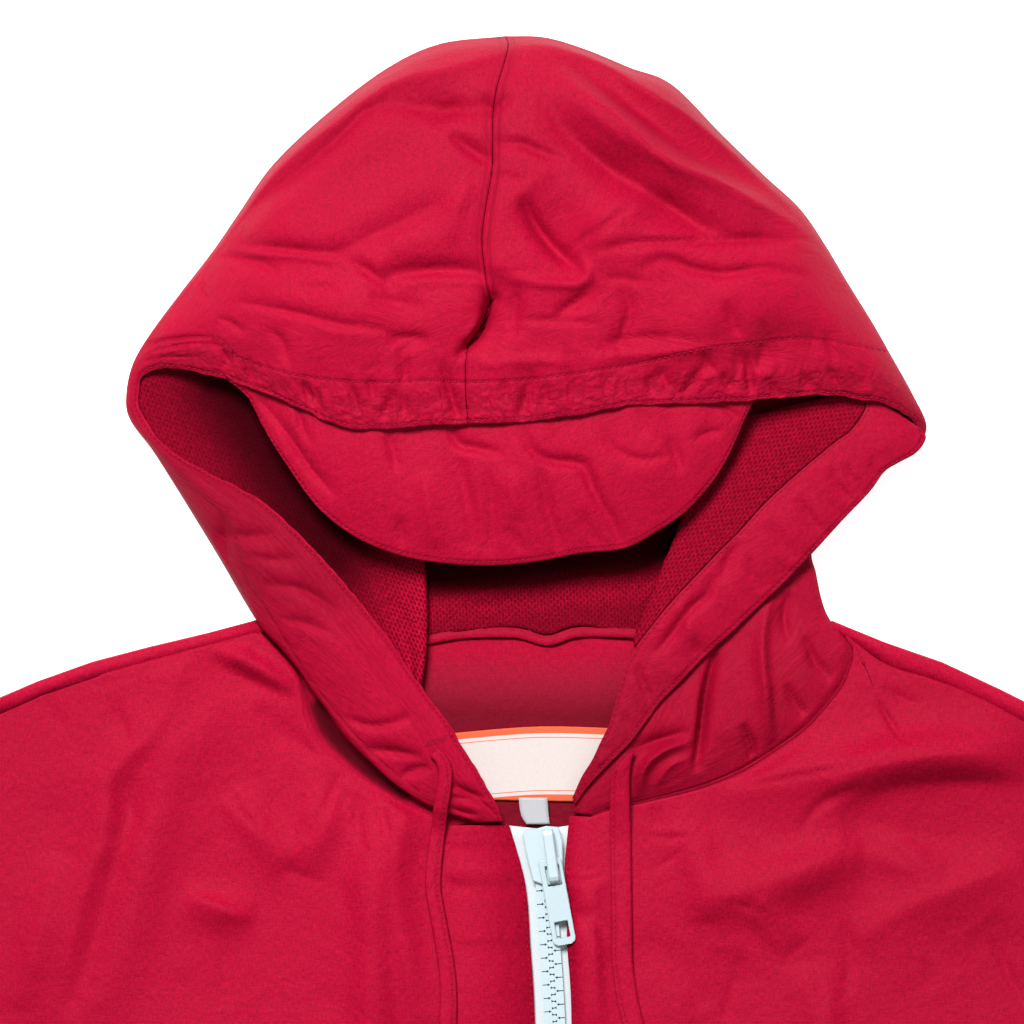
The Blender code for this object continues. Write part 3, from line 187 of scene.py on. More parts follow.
# The turned-out front edge on the right, from under the crown down to the neck:
# rim x, rim y, rim height, seam x, seam y, seam height, roll x, roll y, roll height
TURNED_EDGE = (
    (140.5, 148.4, 8.6, 118.5, 163, 13.5, 70.5, 152, 13),
    (143, 144.6, 8.8, 120, 156, 14, 68, 147, 13.5),
    (139.5, 139, 10, 114.5, 147.5, 15.5, 64, 141, 14),
    (132.5, 135, 11, 108.5, 143, 16, 61.5, 135.5, 14.5),
    (127, 131.5, 12, 100, 136, 16.5, 59.5, 132, 15),
    (121.5, 124, 12.5, 93.5, 130.5, 17, 57, 128, 15),
    (111, 113, 13, 81.5, 119.5, 17.5, 53, 121, 15),
    (100.5, 101.5, 13, 72, 109, 17.5, 49, 112, 15),
    (89, 89.5, 13, 62.5, 99.5, 17.5, 46, 103.5, 15),
    (77.5, 78.5, 13, 53, 89.5, 17, 42, 94, 15),
    (68, 69.5, 13, 45.5, 81.5, 16.5, 38, 84.5, 14.5),
    (58, 60.5, 12.5, 39, 73.5, 15.5, 34.5, 76, 14),
    (50.5, 52.5, 12.5, 33, 65.5, 14, 32, 69, 13.5),
    (42.5, 44.5, 12, 28.5, 57, 13, 28, 57, 13),
    (36.5, 36.5, 11.5, 25.5, 46.5, 12.5, 25, 46.5, 12),
    (30.5, 28.5, 11, 22.5, 36, 12, 22, 36, 12),
    (24.5, 22.5, 10.5, 19, 28.5, 11.5, 19, 28.5, 11),
    (19, 17, 10, 16, 22, 10.5, 16, 22, 10),
    (14, 11.5, 9, 12, 15.5, 9, 12, 15.5, 9),
    (9.5, 5, 7.6, 8.5, 7.5, 7.6, 8.5, 7.5, 8.5),
)
LINING_RIGHT_ROWS = 12.2  # the rows of TURNED_EDGE where the lining shows beside the facing
# The lining of the left side, from the top down:
# outer x, outer y, outer height, fold x, fold y, fold height
LINING_LEFT = (
    (-127, 172, 11, -57, 159, 10),
    (-148, 172, 6.4, -55, 147.5, 10),
    (-156.5, 165.5, 5.6, -53, 138, 10),
    (-157, 158, 5.4, -51.5, 128.5, 10),
    (-152.5, 149, 5.6, -50, 119, 10),
    (-141, 135.5, 7.6, -49, 109.5, 10),
    (-124.5, 125.5, 11, -48, 100, 10),
    (-110.5, 116.5, 13.2, -47, 90.5, 10),
    (-94.5, 102, 14.4, -46.5, 81, 10),
    (-79.5, 84.5, 14.2, -46.5, 72, 10),
    (-66, 67, 13.4, -47, 62, 10),
    (-58, 55.5, 12.2, -48.5, 51, 9.5),
)
# The back lining's upper and lower edges: x, y
LINING_BACK = (
    ((-59, 150), (-20, 152), (20, 150), (52, 140)),
    ((-57, 68), (-46.5, 69.2), (-30, 71.2), (-13.5, 72.6), (-1, 69.8), (11, 73), (31.5, 70), (44, 70.4)),
)
# The label's upper and lower edges, and the size tag's left and right ones: x, y
LABEL_EDGES = (
    ((-44, 31), (-35, 32.2), (-5.5, 34.5), (21.5, 34), (32, 33)),
    ((-41, 7.2), (-20, 6.6), (10, 6), (28, 6)),
)
SIZE_TAG = (((-12, 7.5), (-11, 1), (-9, -2.6)), ((-1, 7.5), (-0.5, 1), (0, -2.6)))
# The drawstring's free ends: x, y, width
DRAWSTRINGS = {
    "left": (
        (-44, 25, 4.5), (-41.5, 22.5, 5), (-39.8, 18, 5.4), (-40.3, 11, 5.6), (-41.5, 4, 5.6),
        (-42.3, -3, 5.6), (-43.5, -12, 5.8), (-44.5, -26, 6), (-42.3, -39.5, 6), (-39.7, -55, 6.2),
        (-38.7, -66, 6.4), (-39, -80, 6.8), (-41, -105, 7), (-45, -130, 7), (-48, -155, 7),
        (-47.5, -180, 7), (-44, -205, 7), (-41.5, -230, 7), (-42, -255, 7),
    ),
    "right": (
        (29.2, 26, 6.5), (27.3, 20, 7.2), (26.6, 10.5, 7.6), (26.8, -4.5, 8), (27.1, -20, 8),
        (27.4, -40.5, 8), (27.5, -54.5, 8), (29.2, -67.5, 8), (32, -80, 8), (37, -104, 8),
        (41, -128, 8), (43, -152, 8), (42, -176, 8), (39.5, -200, 8), (38.5, -224, 8), (40, -250, 8),
    ),
}

# Folds: the path as x, y, x, y and so on, height at the middle, half width on its left and on its
# right. A trough has a height below zero.
CROWN_FOLDS = (
    ((-30, 176, -24, 188, -20, 198, -19, 208), -5, 5, 9),
    ((-11, 234, 2, 222, 8, 213, 14, 208), -4.5, 13, 8),
    ((7, 214, 18, 224, 30, 233, 44, 243), 4, 7, 9),
    ((15, 214, 45, 219, 78, 219), 3, 6, 8),
    ((1, 285, 32, 260, 48, 246, 62, 240, 84, 231), 5, 7, 12),
    ((-124, 216, -84, 210, -62, 204, -54, 200), -3.5, 6, 10),
    ((-64, 204, -44, 205, -24, 204), -3, 5, 8),
    ((-122, 219, -110, 232, -92, 247, -72, 268), 3, 5, 9),
    ((-106, 235, -80, 240, -50, 258, -30, 280), -2.5, 12, 12),
    ((-70, 170, -75, 190, -70, 215), 3, 14, 14),
    ((40, 170, 60, 190, 95, 200), 3, 12, 12),
    ((70, 172, 90, 180, 118, 182), -2.5, 7, 9),
)
FRONT_FOLDS = (
    ((-139, 54, -162, 22, -171, -5, -186, -50, -204, -75, -214, -110), -6, 16, 20),
    ((-123, 50, -146, 20, -154, -5, -166, -50, -180, -85), 4.5, 12, 12),
    ((-81, 18, -88, -6, -93, -22), 3.5, 7, 9),
    ((-134, 66, -118, 56, -110, 48), -2.5, 6, 8),
    ((-123, 10, -111, -5, -100, -20), 2.5, 7, 7),
    ((-140, -30, -128, -35, -112, -38), 2.5, 6, 7),
    ((-53, -5, -55, -30, -54, -60, -50, -90, -54, -130), -3.5, 7, 8),
    ((-66, 0, -70, -40, -67, -80, -72, -125), 3, 8, 8),
    ((-34, -4, -27, -22, -26, -50, -28, -90), 2.5, 7, 6),
    ((105, 10, 127, 22, 160, 25, 190, 27), 5, 7, 14),
    ((110, 0, 135, 6, 165, 6, 200, 2), -5.5, 10, 14),
    ((50, -35, 72, -30, 92, -24, 120, -10), 3.5, 7, 9),
    ((77, -32, 85, -40, 94, -50), 2.5, 6, 6),
    ((115, -8, 133, -14, 150, -22), 2.5, 7, 8),
    ((165, -40, 182, -62, 196, -86, 215, -120), -4.5, 9, 12),
    ((98, -55, 104, -78, 108, -110), 3, 8, 8),
    ((70, -50, 66, -78, 60, -115), -3, 9, 9),
    ((45, 0, 56, -12, 60, -40), 2.2, 7, 8),
    ((-230, -120, -180, -150, -110, -170, -60, -165), 5, 12, 18),
    ((-240, -165, -190, -200, -130, -225), -5, 12, 14),
    ((240, -140, 190, -165, 130, -180, 70, -175), 5, 14, 12),
    ((240, -195, 180, -235, 110, -255), -4.5, 14, 12),
    ((-110, -230, -100, -300, -125, -380, -118, -470), 5, 14, 18),
    ((-60, -280, -48, -350, -60, -430, -52, -520), -4, 14, 12),
    ((-190, -300, -180, -370, -195, -450, -188, -535), -4, 16, 14),
    ((60, -270, 76, -345, 64, -420, 80, -510), 5, 16, 12),
    ((130, -300, 118, -370, 135, -450, 126, -535), -4.5, 14, 16),
    ((195, -260, 205, -340, 192, -430, 200, -520), 4, 14, 16),
    ((10, -300, 0, -370, 12, -450, 4, -530), 3.5, 14, 14),
)
# Sleeve folds: along the sleeve from armhole to cuff, across it from the upper edge to the lower,
# as shares; then height at the middle and half width in millimetres.
SLEEVE_FOLDS = {
    "left": (
        (((0.02, 0.85), (0.12, 0.6), (0.24, 0.3)), 5, 12),
        (((0.05, 0.98), (0.2, 0.78), (0.36, 0.55)), -3, 11),
        (((0.3, 0.2), (0.42, 0.5), (0.52, 0.85)), 4, 12),
        (((0.45, 0.15), (0.56, 0.45), (0.6, 0.8)), -3, 10),
        (((0.6, 0.15), (0.72, 0.4), (0.8, 0.8)), 4, 11),
        (((0.78, 0.2), (0.88, 0.5), (0.97, 0.6)), 3, 9),
    ),
    "right": (
        (((0.02, 0.8), (0.14, 0.55), (0.28, 0.4)), 5, 13),
        (((0.04, 0.95), (0.18, 0.85), (0.34, 0.7)), -3, 11),
        (((0.26, 0.85), (0.4, 0.5), (0.5, 0.2)), 4, 12),
        (((0.42, 0.85), (0.54, 0.6), (0.64, 0.25)), -3, 11),
        (((0.6, 0.8), (0.7, 0.5), (0.82, 0.25)), 4.5, 11),
        (((0.8, 0.75), (0.9, 0.5), (0.98, 0.4)), 3, 9),
    ),
}

# Creases that only the visible cloth has, as in the tables above; a fifth entry sharpens one.
CROWN_CREASES = (
    ((-123, 220, -109, 239, -95, 253, -80, 264, -70, 272, -57, 280, -42, 283, -27, 287, -11, 292),
     2.6, 4.6, 4.2),
    ((-122, 221, -111, 233, -95, 245, -80, 258, -70, 268, -59, 271), -2.4, 3.8, 5.3, 1.4),
    ((-65, 271, -49, 269, -34, 268, -21, 268), -2.2, 6.1, 4.9),
    ((-25, 274, -22, 268, -14, 274), -1.5, 1.9, 1.9, 1.4),
    ((-46, 263, -40, 267, -33, 271), -0.8, 2.3, 2.3),
    ((-38, 259, -32, 254, -21, 247), -1.8, 3.0, 1.9, 1.6),
    ((-84, 212, -68, 220, -57, 225, -37, 235), -1.4, 5.3, 4.6),
    ((-75, 212, -66, 205, -58, 200), -1.2, 1.9, 1.9, 1.6),
    ((-63, 204, -57, 206, -46, 207, -32, 207, -23, 204), -1.7, 4.2, 1.5, 1.4),
    ((-59, 203, -42, 204, -26, 203, -23, 199), 0.7, 1.5, 2.7),
    ((-126, 214, -110, 211, -102, 206), -1.1, 1.5, 1.9, 1.4),
    ((-125, 216, -110, 214, -87, 212, -75, 209), 0.8, 1.5, 1.5),
    ((-119, 218, -103, 216, -87, 214, -75, 215), -0.9, 1.9, 1.5),
    ((-133, 203, -128, 195), -0.7, 1.1, 1.1),
    ((-119, 196, -95, 191, -80, 187, -65, 185, -56, 181), -1.1, 1.9, 1.1, 1.4),
    ((-68, 198, -57, 195, -46, 193), -1.1, 3.0, 3.0),
    ((-62, 180, -54, 182, -45, 181), -1.5, 1.9, 1.5, 1.5),
    ((-46, 180, -55, 178, -57, 173), -0.8, 1.1, 1.1),
    ((-19, 198, -23, 195, -25, 187, -28, 182, -33, 177, -35, 174), -4.2, 1.1, 1.5, 1.5),
    ((-24, 196, -28, 187, -33, 181), 1.2, 1.5, 1.9),
    ((-155, 179, -144, 182, -128, 183), -0.7, 1.1, 1.1),
    ((-153, 177, -137, 180, -121, 179), -0.7, 1.1, 1.1),
    ((-157, 173, -148, 175, -132, 175), -0.5, 1.1, 1.1),
    ((-126, 190, -121, 188, -115, 184), -0.9, 1.1, 1.1),
    ((-107, 186, -101, 180, -98, 169), -1.1, 2.3, 1.9),
    ((-128, 182, -124, 177, -119, 173), -0.7, 1.5, 1.1),
    ((-95, 200, -87, 201, -79, 200), -0.6, 1.5, 1.5),
    ((-30, 242, -36, 229, -37, 218), 0.9, 4.6, 3.8),
    ((-13, 293, 4, 293, 19, 287, 34, 277, 49, 268, 65, 256, 80, 245, 94, 231), 2.6, 4.6, 3.8),
    ((4, 288, 19, 277, 34, 266, 49, 254, 65, 245, 81, 236), -2.3, 4.6, 3.0, 1.6),
    ((4, 280, 11, 275, 19, 270, 27, 264, 32, 259, 38, 252, 49, 246, 61, 242, 72, 237, 84, 230, 95,
     224, 101, 219), 1.9, 2.7, 3.4, 1.4),
    ((-3, 279, 1, 266, 11, 255, 19, 248, 28, 242, 38, 236, 49, 229, 57, 223, 72, 220, 93, 219), -3,
     5.7, 6.1),
    ((8, 272, 21, 262, 35, 250), 1, 4.6, 3.0),
    ((-22, 255, -11, 255, -4, 252, 6, 249), -1.5, 1.5, 1.5, 1.4),
    ((-21, 242, -15, 242, -10, 239), -0.7, 1.1, 0.8),
    ((-11, 236, -6, 225, 0, 217, 4, 213, 11, 207), -2.8, 2.3, 2.3, 1.5),
    ((6, 213, 11, 218, 19, 223, 27, 229, 32, 234), -1, 1.1, 1.1, 1.4),
    ((11, 214, 27, 217, 34, 218, 57, 218, 80, 219, 97, 220), -1.4, 1.5, 2.7, 1.5),
    ((34, 215, 57, 217, 80, 217, 97, 217, 107, 211), 0.7, 1.1, 1.9),
    ((10, 211, 14, 208, 14, 204, 8, 202, -4, 203, -19, 205), 1.3, 1.5, 1.1, 1.6),
    ((17, 203, 12, 197, 1, 190), -1.7, 3.0, 1.9),
    ((27, 202, 30, 191, 24, 177), -1.3, 2.3, 2.3),
    ((20, 204, 27, 204, 35, 203), -0.8, 1.5, 1.5),
    ((33, 207, 42, 212, 53, 208, 65, 206, 80, 208, 100, 205), -1.2, 1.9, 1.9, 1.7),
    ((66, 196, 71, 182), -1, 2.3, 2.3),
    ((79, 189, 86, 173), -1, 2.3, 2.3),
    ((104, 185, 108, 171), -0.9, 1.9, 1.9),
    ((-13, 201, -14, 182), -1.1, 2.3, 1.9),
    ((-12, 189, 4, 188, 20, 187), -0.7, 1.1, 1.1),
    ((18, 179, 34, 182, 54, 182), -0.8, 1.5, 1.5),
    ((-27, 172, -11, 173, 4, 173, 11, 170), 0.8, 1.5, 1.5),
    ((12, 173, 27, 175, 49, 177, 69, 179), 0.8, 1.5, 1.5),
    ((-123, 116, -124, 106, -122, 96), -0.9, 2.3, 2.3),
    ((-128, 108, -114, 107, -101, 108), -1, 2.3, 2.3),
    ((-115, 100, -104, 98, -94, 99), -0.7, 1.5, 1.5),
    ((-109, 89, -95, 87, -84, 81, -79, 76), -1.1, 2.3, 1.9),
    ((-103, 76, -93, 74, -82, 70), -0.8, 1.9, 1.9),
    ((-78, 38, -68, 35, -60, 36, -52, 39), -1, 1.5, 1.5, 1.6),
    ((-70, 26, -59, 25, -48, 23), -1.3, 1.9, 1.5, 1.6),
    ((-57, 15, -51, 18, -45, 19), -1.5, 2.3, 1.5),
    ((-38, 13, -30, 9, -24, 7), -1.3, 1.5, 1.1, 1.6),
    ((-39, 8, -27, 6, -20, 0), -0.9, 1.1, 1.1, 1.6),
    ((-38, 4, -33, 2, -27, 1), -0.8, 1.1, 1.1),
    ((63, 64, 59, 49, 57, 33, 55, 17), -3.2, 2.3, 1.1, 1.6),
    ((84, 83, 81, 68, 82, 52, 84, 37, 86, 26), 2, 1.5, 3.4, 1.6),
    ((84, 49, 85, 37, 86, 27), -0.7, 1.1, 0.8),
    ((97, 69, 101, 59, 108, 52), -1.3, 1.9, 1.9),
    ((90, 51, 93, 44, 99, 37), -1.3, 1.5, 1.5),
    ((91, 86, 89, 76, 91, 66), -1.2, 2.3, 2.3),
    ((73, 36, 76, 28, 78, 19), -1.8, 1.5, 1.1, 1.6),
    ((33, 6, 36, 19, 44, 26, 54, 29), 1.8, 1.9, 1.9, 1.8),
    ((40, 11, 45, 19, 53, 23), 0.8, 1.5, 1.5),
    ((30, 25, 40, 29, 53, 33), -1.5, 2.3, 1.5),
)

# Short folds across the casing, all of one width.
GATHERS = tuple((*fold, 1.7, 1.7, 1.6) for fold in (
    ((-106, 165, -105, 155), -0.7),
    ((-94, 166, -91, 160, -89, 158), -0.9),
    ((-88, 163, -87, 151), -0.7),
    ((-78, 167, -75, 162, -72, 154), -0.9),
    ((-68, 167, -67, 158), -0.7),
    ((-59, 163, -61, 157, -64, 151), -1),
    ((-56, 161, -55, 151), -0.8),
    ((-55, 175, -55, 164), -0.6),
    ((-41, 173, -38, 162, -34, 150), -1.1),
    ((-41, 163, -41, 157), -0.5),
    ((-17, 166, -17, 158), -0.8),
    ((-6, 169, -8, 162, -12, 151), -1.1),
    ((-2, 165, -2, 155), -0.8),
    ((10, 167, 7, 158), -0.5),
    ((19, 169, 22, 160), -0.5),
    ((38, 169, 38, 160), -0.8),
    ((41, 171, 45, 162), -0.8),
    ((59, 173, 54, 166, 49, 160), -0.9),
    ((57, 177, 62, 168), -0.8),
    ((64, 169, 69, 162), -0.8),
    ((71, 179, 70, 162), -0.9),
    ((74, 177, 76, 160), -1.4),
    ((80, 180, 79, 169), -0.8),
    ((81, 167, 88, 160), -0.9),
    ((95, 169, 99, 162), -0.7),
    ((106, 171, 108, 163), -0.6),
    ((119, 172, 120, 163), -0.5),
    ((-114, 171, -112, 165), -0.5),
    ((-124, 178, -121, 169), -0.5),
))

PEAK_CREASES = (
    ((-111, 160, -101, 148, -90, 132, -80, 121), -1, 2.3, 1.9),
    ((-96, 160, -94, 149, -90, 141), -0.7, 1.5, 1.5),
    ((-62, 148, -60, 141, -58, 131), -0.9, 1.5, 1.5),
    ((-38, 150, -35, 142, -27, 140, -18, 138), -1.1, 1.9, 1.1, 1.6),
    ((-35, 137, -31, 121, -29, 101), -1, 3.0, 3.0),
    ((-24, 133, -22, 117, -22, 100), -0.9, 2.3, 2.3),
    ((-57, 115, -56, 103), -0.7, 1.9, 1.9),
    ((-11, 150, -9, 142, -4, 137, 4, 135, 11, 135, 14, 130, 18, 121, 22, 115, 26, 107, 28, 101),
     -1.4, 1.9, 1.5, 1.5),
    ((-4, 134, -1, 117, 4, 101), -1.2, 1.9, 1.5, 1.6),
    ((-16, 111, -11, 101), -0.7, 1.5, 1.5),
    ((11, 118, 15, 110, 19, 103), -0.6, 1.1, 1.1),
    ((34, 156, 35, 150, 36, 144), -0.7, 1.1, 1.1),
    ((45, 145, 48, 137, 50, 131), -0.8, 1.5, 1.5),
    ((19, 150, 23, 141, 34, 136, 46, 138), -0.6, 1.5, 1.5),
    ((63, 158, 68, 154, 71, 151), -0.7, 1.1, 1.1),
    ((53, 143, 59, 146, 65, 147), -0.6, 1.5, 1.5),
    ((-48, 132, -46, 117, -43, 101), 0.8, 3.4, 3.4),
    ((-15, 132, -14, 121, -13, 113), 0.8, 3.4, 3.4),
)

FACING_CREASES = (
    ((62, 93, 60, 85, 53, 79, 45, 68, 39, 62), -1.5, 1.5, 1.9, 1.6),
    ((71, 106, 68, 99, 65, 89), -1, 1.9, 1.9),
    ((33, 59, 36, 49, 40, 42), -1.1, 1.1, 1.1, 1.6),
    ((106, 133, 109, 126, 115, 120), -1, 1.5, 1.1, 1.7),
    ((112, 135, 115, 128, 119, 122), -0.9, 1.1, 1.1, 1.7),
    ((122, 137, 123, 132, 126, 128), -0.7, 1.1, 1.1),
    ((94, 122, 98, 115, 103, 109), -1, 1.5, 1.1, 1.7),
    ((84, 113, 87, 106, 93, 98), -0.7, 1.5, 1.5),
    ((75, 100, 77, 92, 82, 86), -0.8, 1.5, 1.5),
    ((53, 68, 57, 63, 59, 59), -0.6, 1.5, 1.5),
    ((48, 83, 53, 72, 54, 64), 0.7, 2.3, 2.3),
    ((27, 40, 30, 34, 32, 29), -0.7, 1.1, 1.1),
    ((19, 28, 23, 25, 26, 21), -0.5, 1.1, 1.1),
)

FRONT_CREASES = (
    ((65, 11, 95, 17, 118, 21, 139, 25, 160, 27, 182, 26), 3.4, 9.9, 15.2),
    ((63, 10, 95, 16, 118, 21, 139, 25, 160, 27, 182, 25), -0.9, 1.1, 1.1, 1.5),
    ((95, -7, 100, 2, 108, 8, 121, 12), -0.8, 1.9, 2.3, 1.8),
    ((53, -28, 72, -21, 95, -17, 119, -13), 2.2, 8.4, 11.4),
    ((117, -48, 133, -36, 156, -26, 182, -17), 2.2, 7.6, 10.6),
    ((68, -32, 80, -36, 87, -43, 96, -51), -0.7, 1.1, 1.1, 1.6),
    ((125, 44, 129, 37, 133, 31, 138, 28), -1, 1.5, 1.1, 1.6),
    ((127, 49, 135, 45, 142, 43), -0.6, 1.5, 1.5),
    ((117, -8, 129, -12, 140, -19), -0.8, 1.5, 1.5),
    ((73, -53, 70, -65, 66, -78), -1, 2.3, 2.3),
    ((112, -40, 114, -54, 112, -71), -0.8, 1.9, 1.9),
    ((100, -53, 103, -69, 104, -81), -0.7, 1.1, 1.1),
    ((142, -53, 146, -67), -0.6, 1.1, 1.1),
    ((168, -45, 173, -56, 177, -64, 182, -72), -1, 1.5, 1.5),
    ((34, -46, 49, -56, 58, -74), -1, 4.6, 4.6),
    ((54, -8, 46, -16, 37, -21), -0.5, 1.1, 1.1),
    ((40, 5, 41, -5), -0.8, 1.5, 1.1),
    ((36, -7, 45, -8, 55, -7), -0.6, 1.5, 1.5),
    ((73, -8, 77, -14, 83, -21), -0.5, 1.5, 1.5),
    ((19, -21, 16, -33, 17, -46, 17, -63, 19, -81), 2.2, 3.4, 7.6),
    ((13, -30, 18, -42, 21, -49), -1.3, 1.5, 1.5, 1.7),
    ((8, -23, 15, -24, 21, -22), -0.6, 1.1, 1.1),
    ((10, -55, 12, -60, 15, -63), -0.5, 1.1, 1.1),
    ((-141, 65, -144, 45, -154, 28, -167, 17, -169, -5, -174, -19, -179, -35, -183, -54, -189,
     -81), 2.8, 7.6, 12.9),
    ((-166, 18, -163, 7, -155, -3), -0.8, 3.0, 3.0),
    ((-131, 70, -119, 62, -106, 55, -93, 49), 2.4, 3.4, 4.6, 1.8),
    ((-133, 67, -127, 60, -118, 54, -107, 49, -96, 45), -1.2, 2.3, 2.7, 1.6),
    ((-110, 75, -116, 68, -120, 64, -125, 62), -1, 1.1, 1.1, 1.6),
    ((-113, 74, -112, 67, -112, 59), -0.6, 1.5, 1.5),
    ((-112, 42, -103, 32, -95, 28, -88, 21), -1.2, 3.4, 2.7),
    ((-79, 19, -82, 11, -87, 1, -94, -9), -1, 1.5, 1.5, 1.6),
    ((-79, 12, -79, 2), -0.6, 1.1, 1.1),
    ((-74, 12, -73, -5, -71, -14), -0.7, 1.5, 1.1),
    ((-67, 12, -63, -2, -59, -17), -0.6, 1.5, 1.5),
    ((-123, 11, -118, 3, -111, -5), -0.8, 1.1, 1.1, 1.6),
    ((-193, 46, -190, 40, -185, 34), -1, 1.9, 1.5),
    ((-171, 61, -170, 55, -169, 49), -0.7, 1.9, 1.9),
    ((-168, 46, -163, 35, -160, 27), -0.9, 1.5, 1.1, 1.6),
    ((-156, 63, -155, 57, -155, 49), -0.5, 1.1, 1.1),
    ((-186, -14, -194, -43, -202, -73), 1.6, 6.8, 9.1),
    ((-138, -30, -127, -33, -115, -39), 0.8, 1.9, 3.0),
    ((-126, -43, -123, -56, -124, -73), -0.7, 3.0, 3.0),
    ((-80, -24, -75, -43, -76, -63), -0.6, 4.6, 3.8),
    ((-50, 19, -56, -1, -59, -17, -58, -35, -54, -54, -49, -72, -46, -84), 3.6, 8.0, 17.5),
    ((-38, -6, -30, -10, -24, -16), -1.2, 1.5, 1.5, 1.6),
    ((-39, -9, -32, -17, -27, -22), -0.9, 1.1, 1.1, 1.6),
    ((-39, -23, -34, -28, -28, -33, -22, -38), -1.3, 1.5, 1.5, 1.6),
    ((-27, -24, -19, -25, -13, -19), -0.6, 1.5, 1.5),
    ((-36, -47, -28, -60, -22, -71), -0.8, 2.3, 2.3),
    ((-17, -42, -16, -55), -0.5, 1.5, 1.5),
    ((-37, -21, -30, -19, -24, -21), 0.6, 1.9, 1.9),
)

# The folds of the mesh lining.
LINING_FOLDS = (
    ((-131, 172, -130, 158, -126, 140), -1.6, 2.4, 2.8),
    ((-112, 168, -104, 150, -100, 132), 1.2, 4, 5),
    ((-140, 165, -142, 152, -139, 142), 1.0, 3, 3),
    ((-90, 160, -84, 138, -80, 112), -1.2, 4, 4),
    ((-70, 152, -68, 128, -63, 102, -60, 80), 1.4, 4, 5),
    ((-46, 80.5, -34, 83, -12, 88.5), 1.6, 1.6, 3.4),
    ((-40, 118, -20, 112, 4, 114), 1.1, 3, 5),
    ((-30, 98, -6, 101, 18, 97), -0.9, 4, 3),
)
# The hollow beside the left panel's outer fold, along which the darkest shade is painted.
HOLLOW = ((-88, 42), (-84.5, 34), (-78, 26.5), (-70, 19.5), (-60.5, 12.8), (-55, 9.5))
# Where the left lining's painted shade is darkest, as the hood's shade falls there.
LINING_SHADE = ((-122, 166), (-104, 136), (-82, 103))
# The seam at the back neck, as it shows inside: x, y
NECK_ROLL = (
    (-52, 66.5), (-34.5, 69.7), (-13.5, 70.2), (-1, 67.2), (11, 70.4), (31.5, 70), (47, 68.4),
)
NECK_ROLL_HALF = 2.0  # half its width
RIM_ROLL = 0.6  # half the width of the left panel's rolled edge
# The second sewn line of the left panel, inside its outer fold.
LEFT_PANEL_SEAM = (
    (-141.5, 128.5), (-133, 122.7), (-124.6, 115), (-119.7, 105.5), (-116, 94), (-113.2, 86.5),
    (-109.5, 81.7), (-100.7, 67.5), (-91.2, 52.5), (-76, 33.5), (-62.7, 20), (-50, 10),
)

# The casing's sewn line, along the crown above the face edge.
CASING_SEAM = (
    (-155, 181), (-127, 182.4), (-118, 174.8), (-95.4, 168), (-70.3, 165.3), (-44.8, 166), (-31, 165.3),
    (-8.4, 166.4), (10, 168.7), (34, 172.5), (58, 177.8), (76.4, 180), (94.6, 182), (119, 179), (129.6, 177),
)

CELL = 1.7  # how finely the cloth is netted
COARSE = 4.0  # the same where it lies under or beside an edge
FACE_STITCH = 1.5  # how far the stitching lies from a turned edge
CLOTH = 0.8  # thickness of the visible cloth
TOOTH_PITCH = 5.13  # of the zip's teeth, along one side
CLEAR = LAYER + 1.0  # height of what lies on the back
# Coloured bands of the label: from and to, in metres down it
LABEL_BANDS = ((-1.0, 0.0026), (0.0040, 0.0043), (0.0243, 0.0246), (0.0259, 1.0))


# Curves and fields.


def spline(points, at):
    """Places on the smooth curve through the points: at 1.5, halfway from the second to the third."""
    p = np.asarray(points, float)
    at = np.clip(np.asarray(at, float), 0, len(p) - 1)
    i = np.minimum(at.astype(int), len(p) - 2)
    f = (at - i).reshape(-1, *[1] * (p.ndim - 1))
    padded = np.concatenate([2 * p[:1] - p[1:2], p, 2 * p[-1:] - p[-2:-1]])
    a, b, c, d = (padded[i + k] for k in range(4))
    bend = (2 * a - 5 * b + 4 * c - d) * f**2 + (3 * b - a - 3 * c + d) * f**3
    return 0.5 * (2 * b + (c - a) * f + bend)


def spans(line):
    """The lengths from each place of a plan line to the next."""
    return np.hypot(*np.diff(line[:, :2], axis=0).T)


def along_line(line):
    """How far each place of a plan line is along it."""
    return np.concatenate([[0], np.cumsum(spans(line))])


def evenly(points, shares):
    """Places on the smooth curve through the points, at shares of its length, or that many even ones."""
    if np.isscalar(shares):
        shares = np.linspace(0, 1, shares)
    fine = spline(points, np.linspace(0, len(points) - 1, 24 * len(points)))
    along = along_line(fine)
    at = np.asarray(shares) * along[-1]
    return np.stack([np.interp(at, along, fine[:, k]) for k in range(fine.shape[1])], axis=1)


def plan_gap(first, second):
    """How far apart two lines' places are in plan, as a column."""
    return np.hypot(*(first - second)[:, :2].T)[:, None]


def normals_of(line):
    """Unit vectors to the left of a plan line at each of its points."""
    step = np.gradient(line[:, :2], axis=0)
    step /= np.maximum(np.hypot(*step.T), 1e-9)[:, None]
    return np.stack([-step[:, 1], step[:, 0]], axis=1)


def ease(x):
    x = np.clip(x, 0, 1)
    return x * x * (3 - 2 * x)


def fade_out(v, depth):
    """From 1 to 0 over the depth, fastest at the start."""
    return (1 - np.clip(v / depth, 0, 1)) ** 2


def nearest_on(x, y, line):
    """For each place: its distance from a plan line, on which side it is and how far along, as a share."""
    start, step = line[:-1, :2], np.diff(line[:, :2], axis=0)
    best = np.full(x.shape, 1e9)
    side = np.ones(x.shape)
    along = np.zeros(x.shape)
    for i, ((x0, y0), (dx, dy)) in enumerate(zip(start, step)):
        gx, gy = x - x0, y - y0
        share = np.clip((gx * dx + gy * dy) / (dx * dx + dy * dy), 0, 1)
        distance = np.hypot(gx - share * dx, gy - share * dy)
        nearer = distance < best
        best = np.where(nearer, distance, best)
        side = np.where(nearer, dx * gy - dy * gx, side)
        along = np.where(nearer, (i + share) / len(step), along)
    return best, side, along


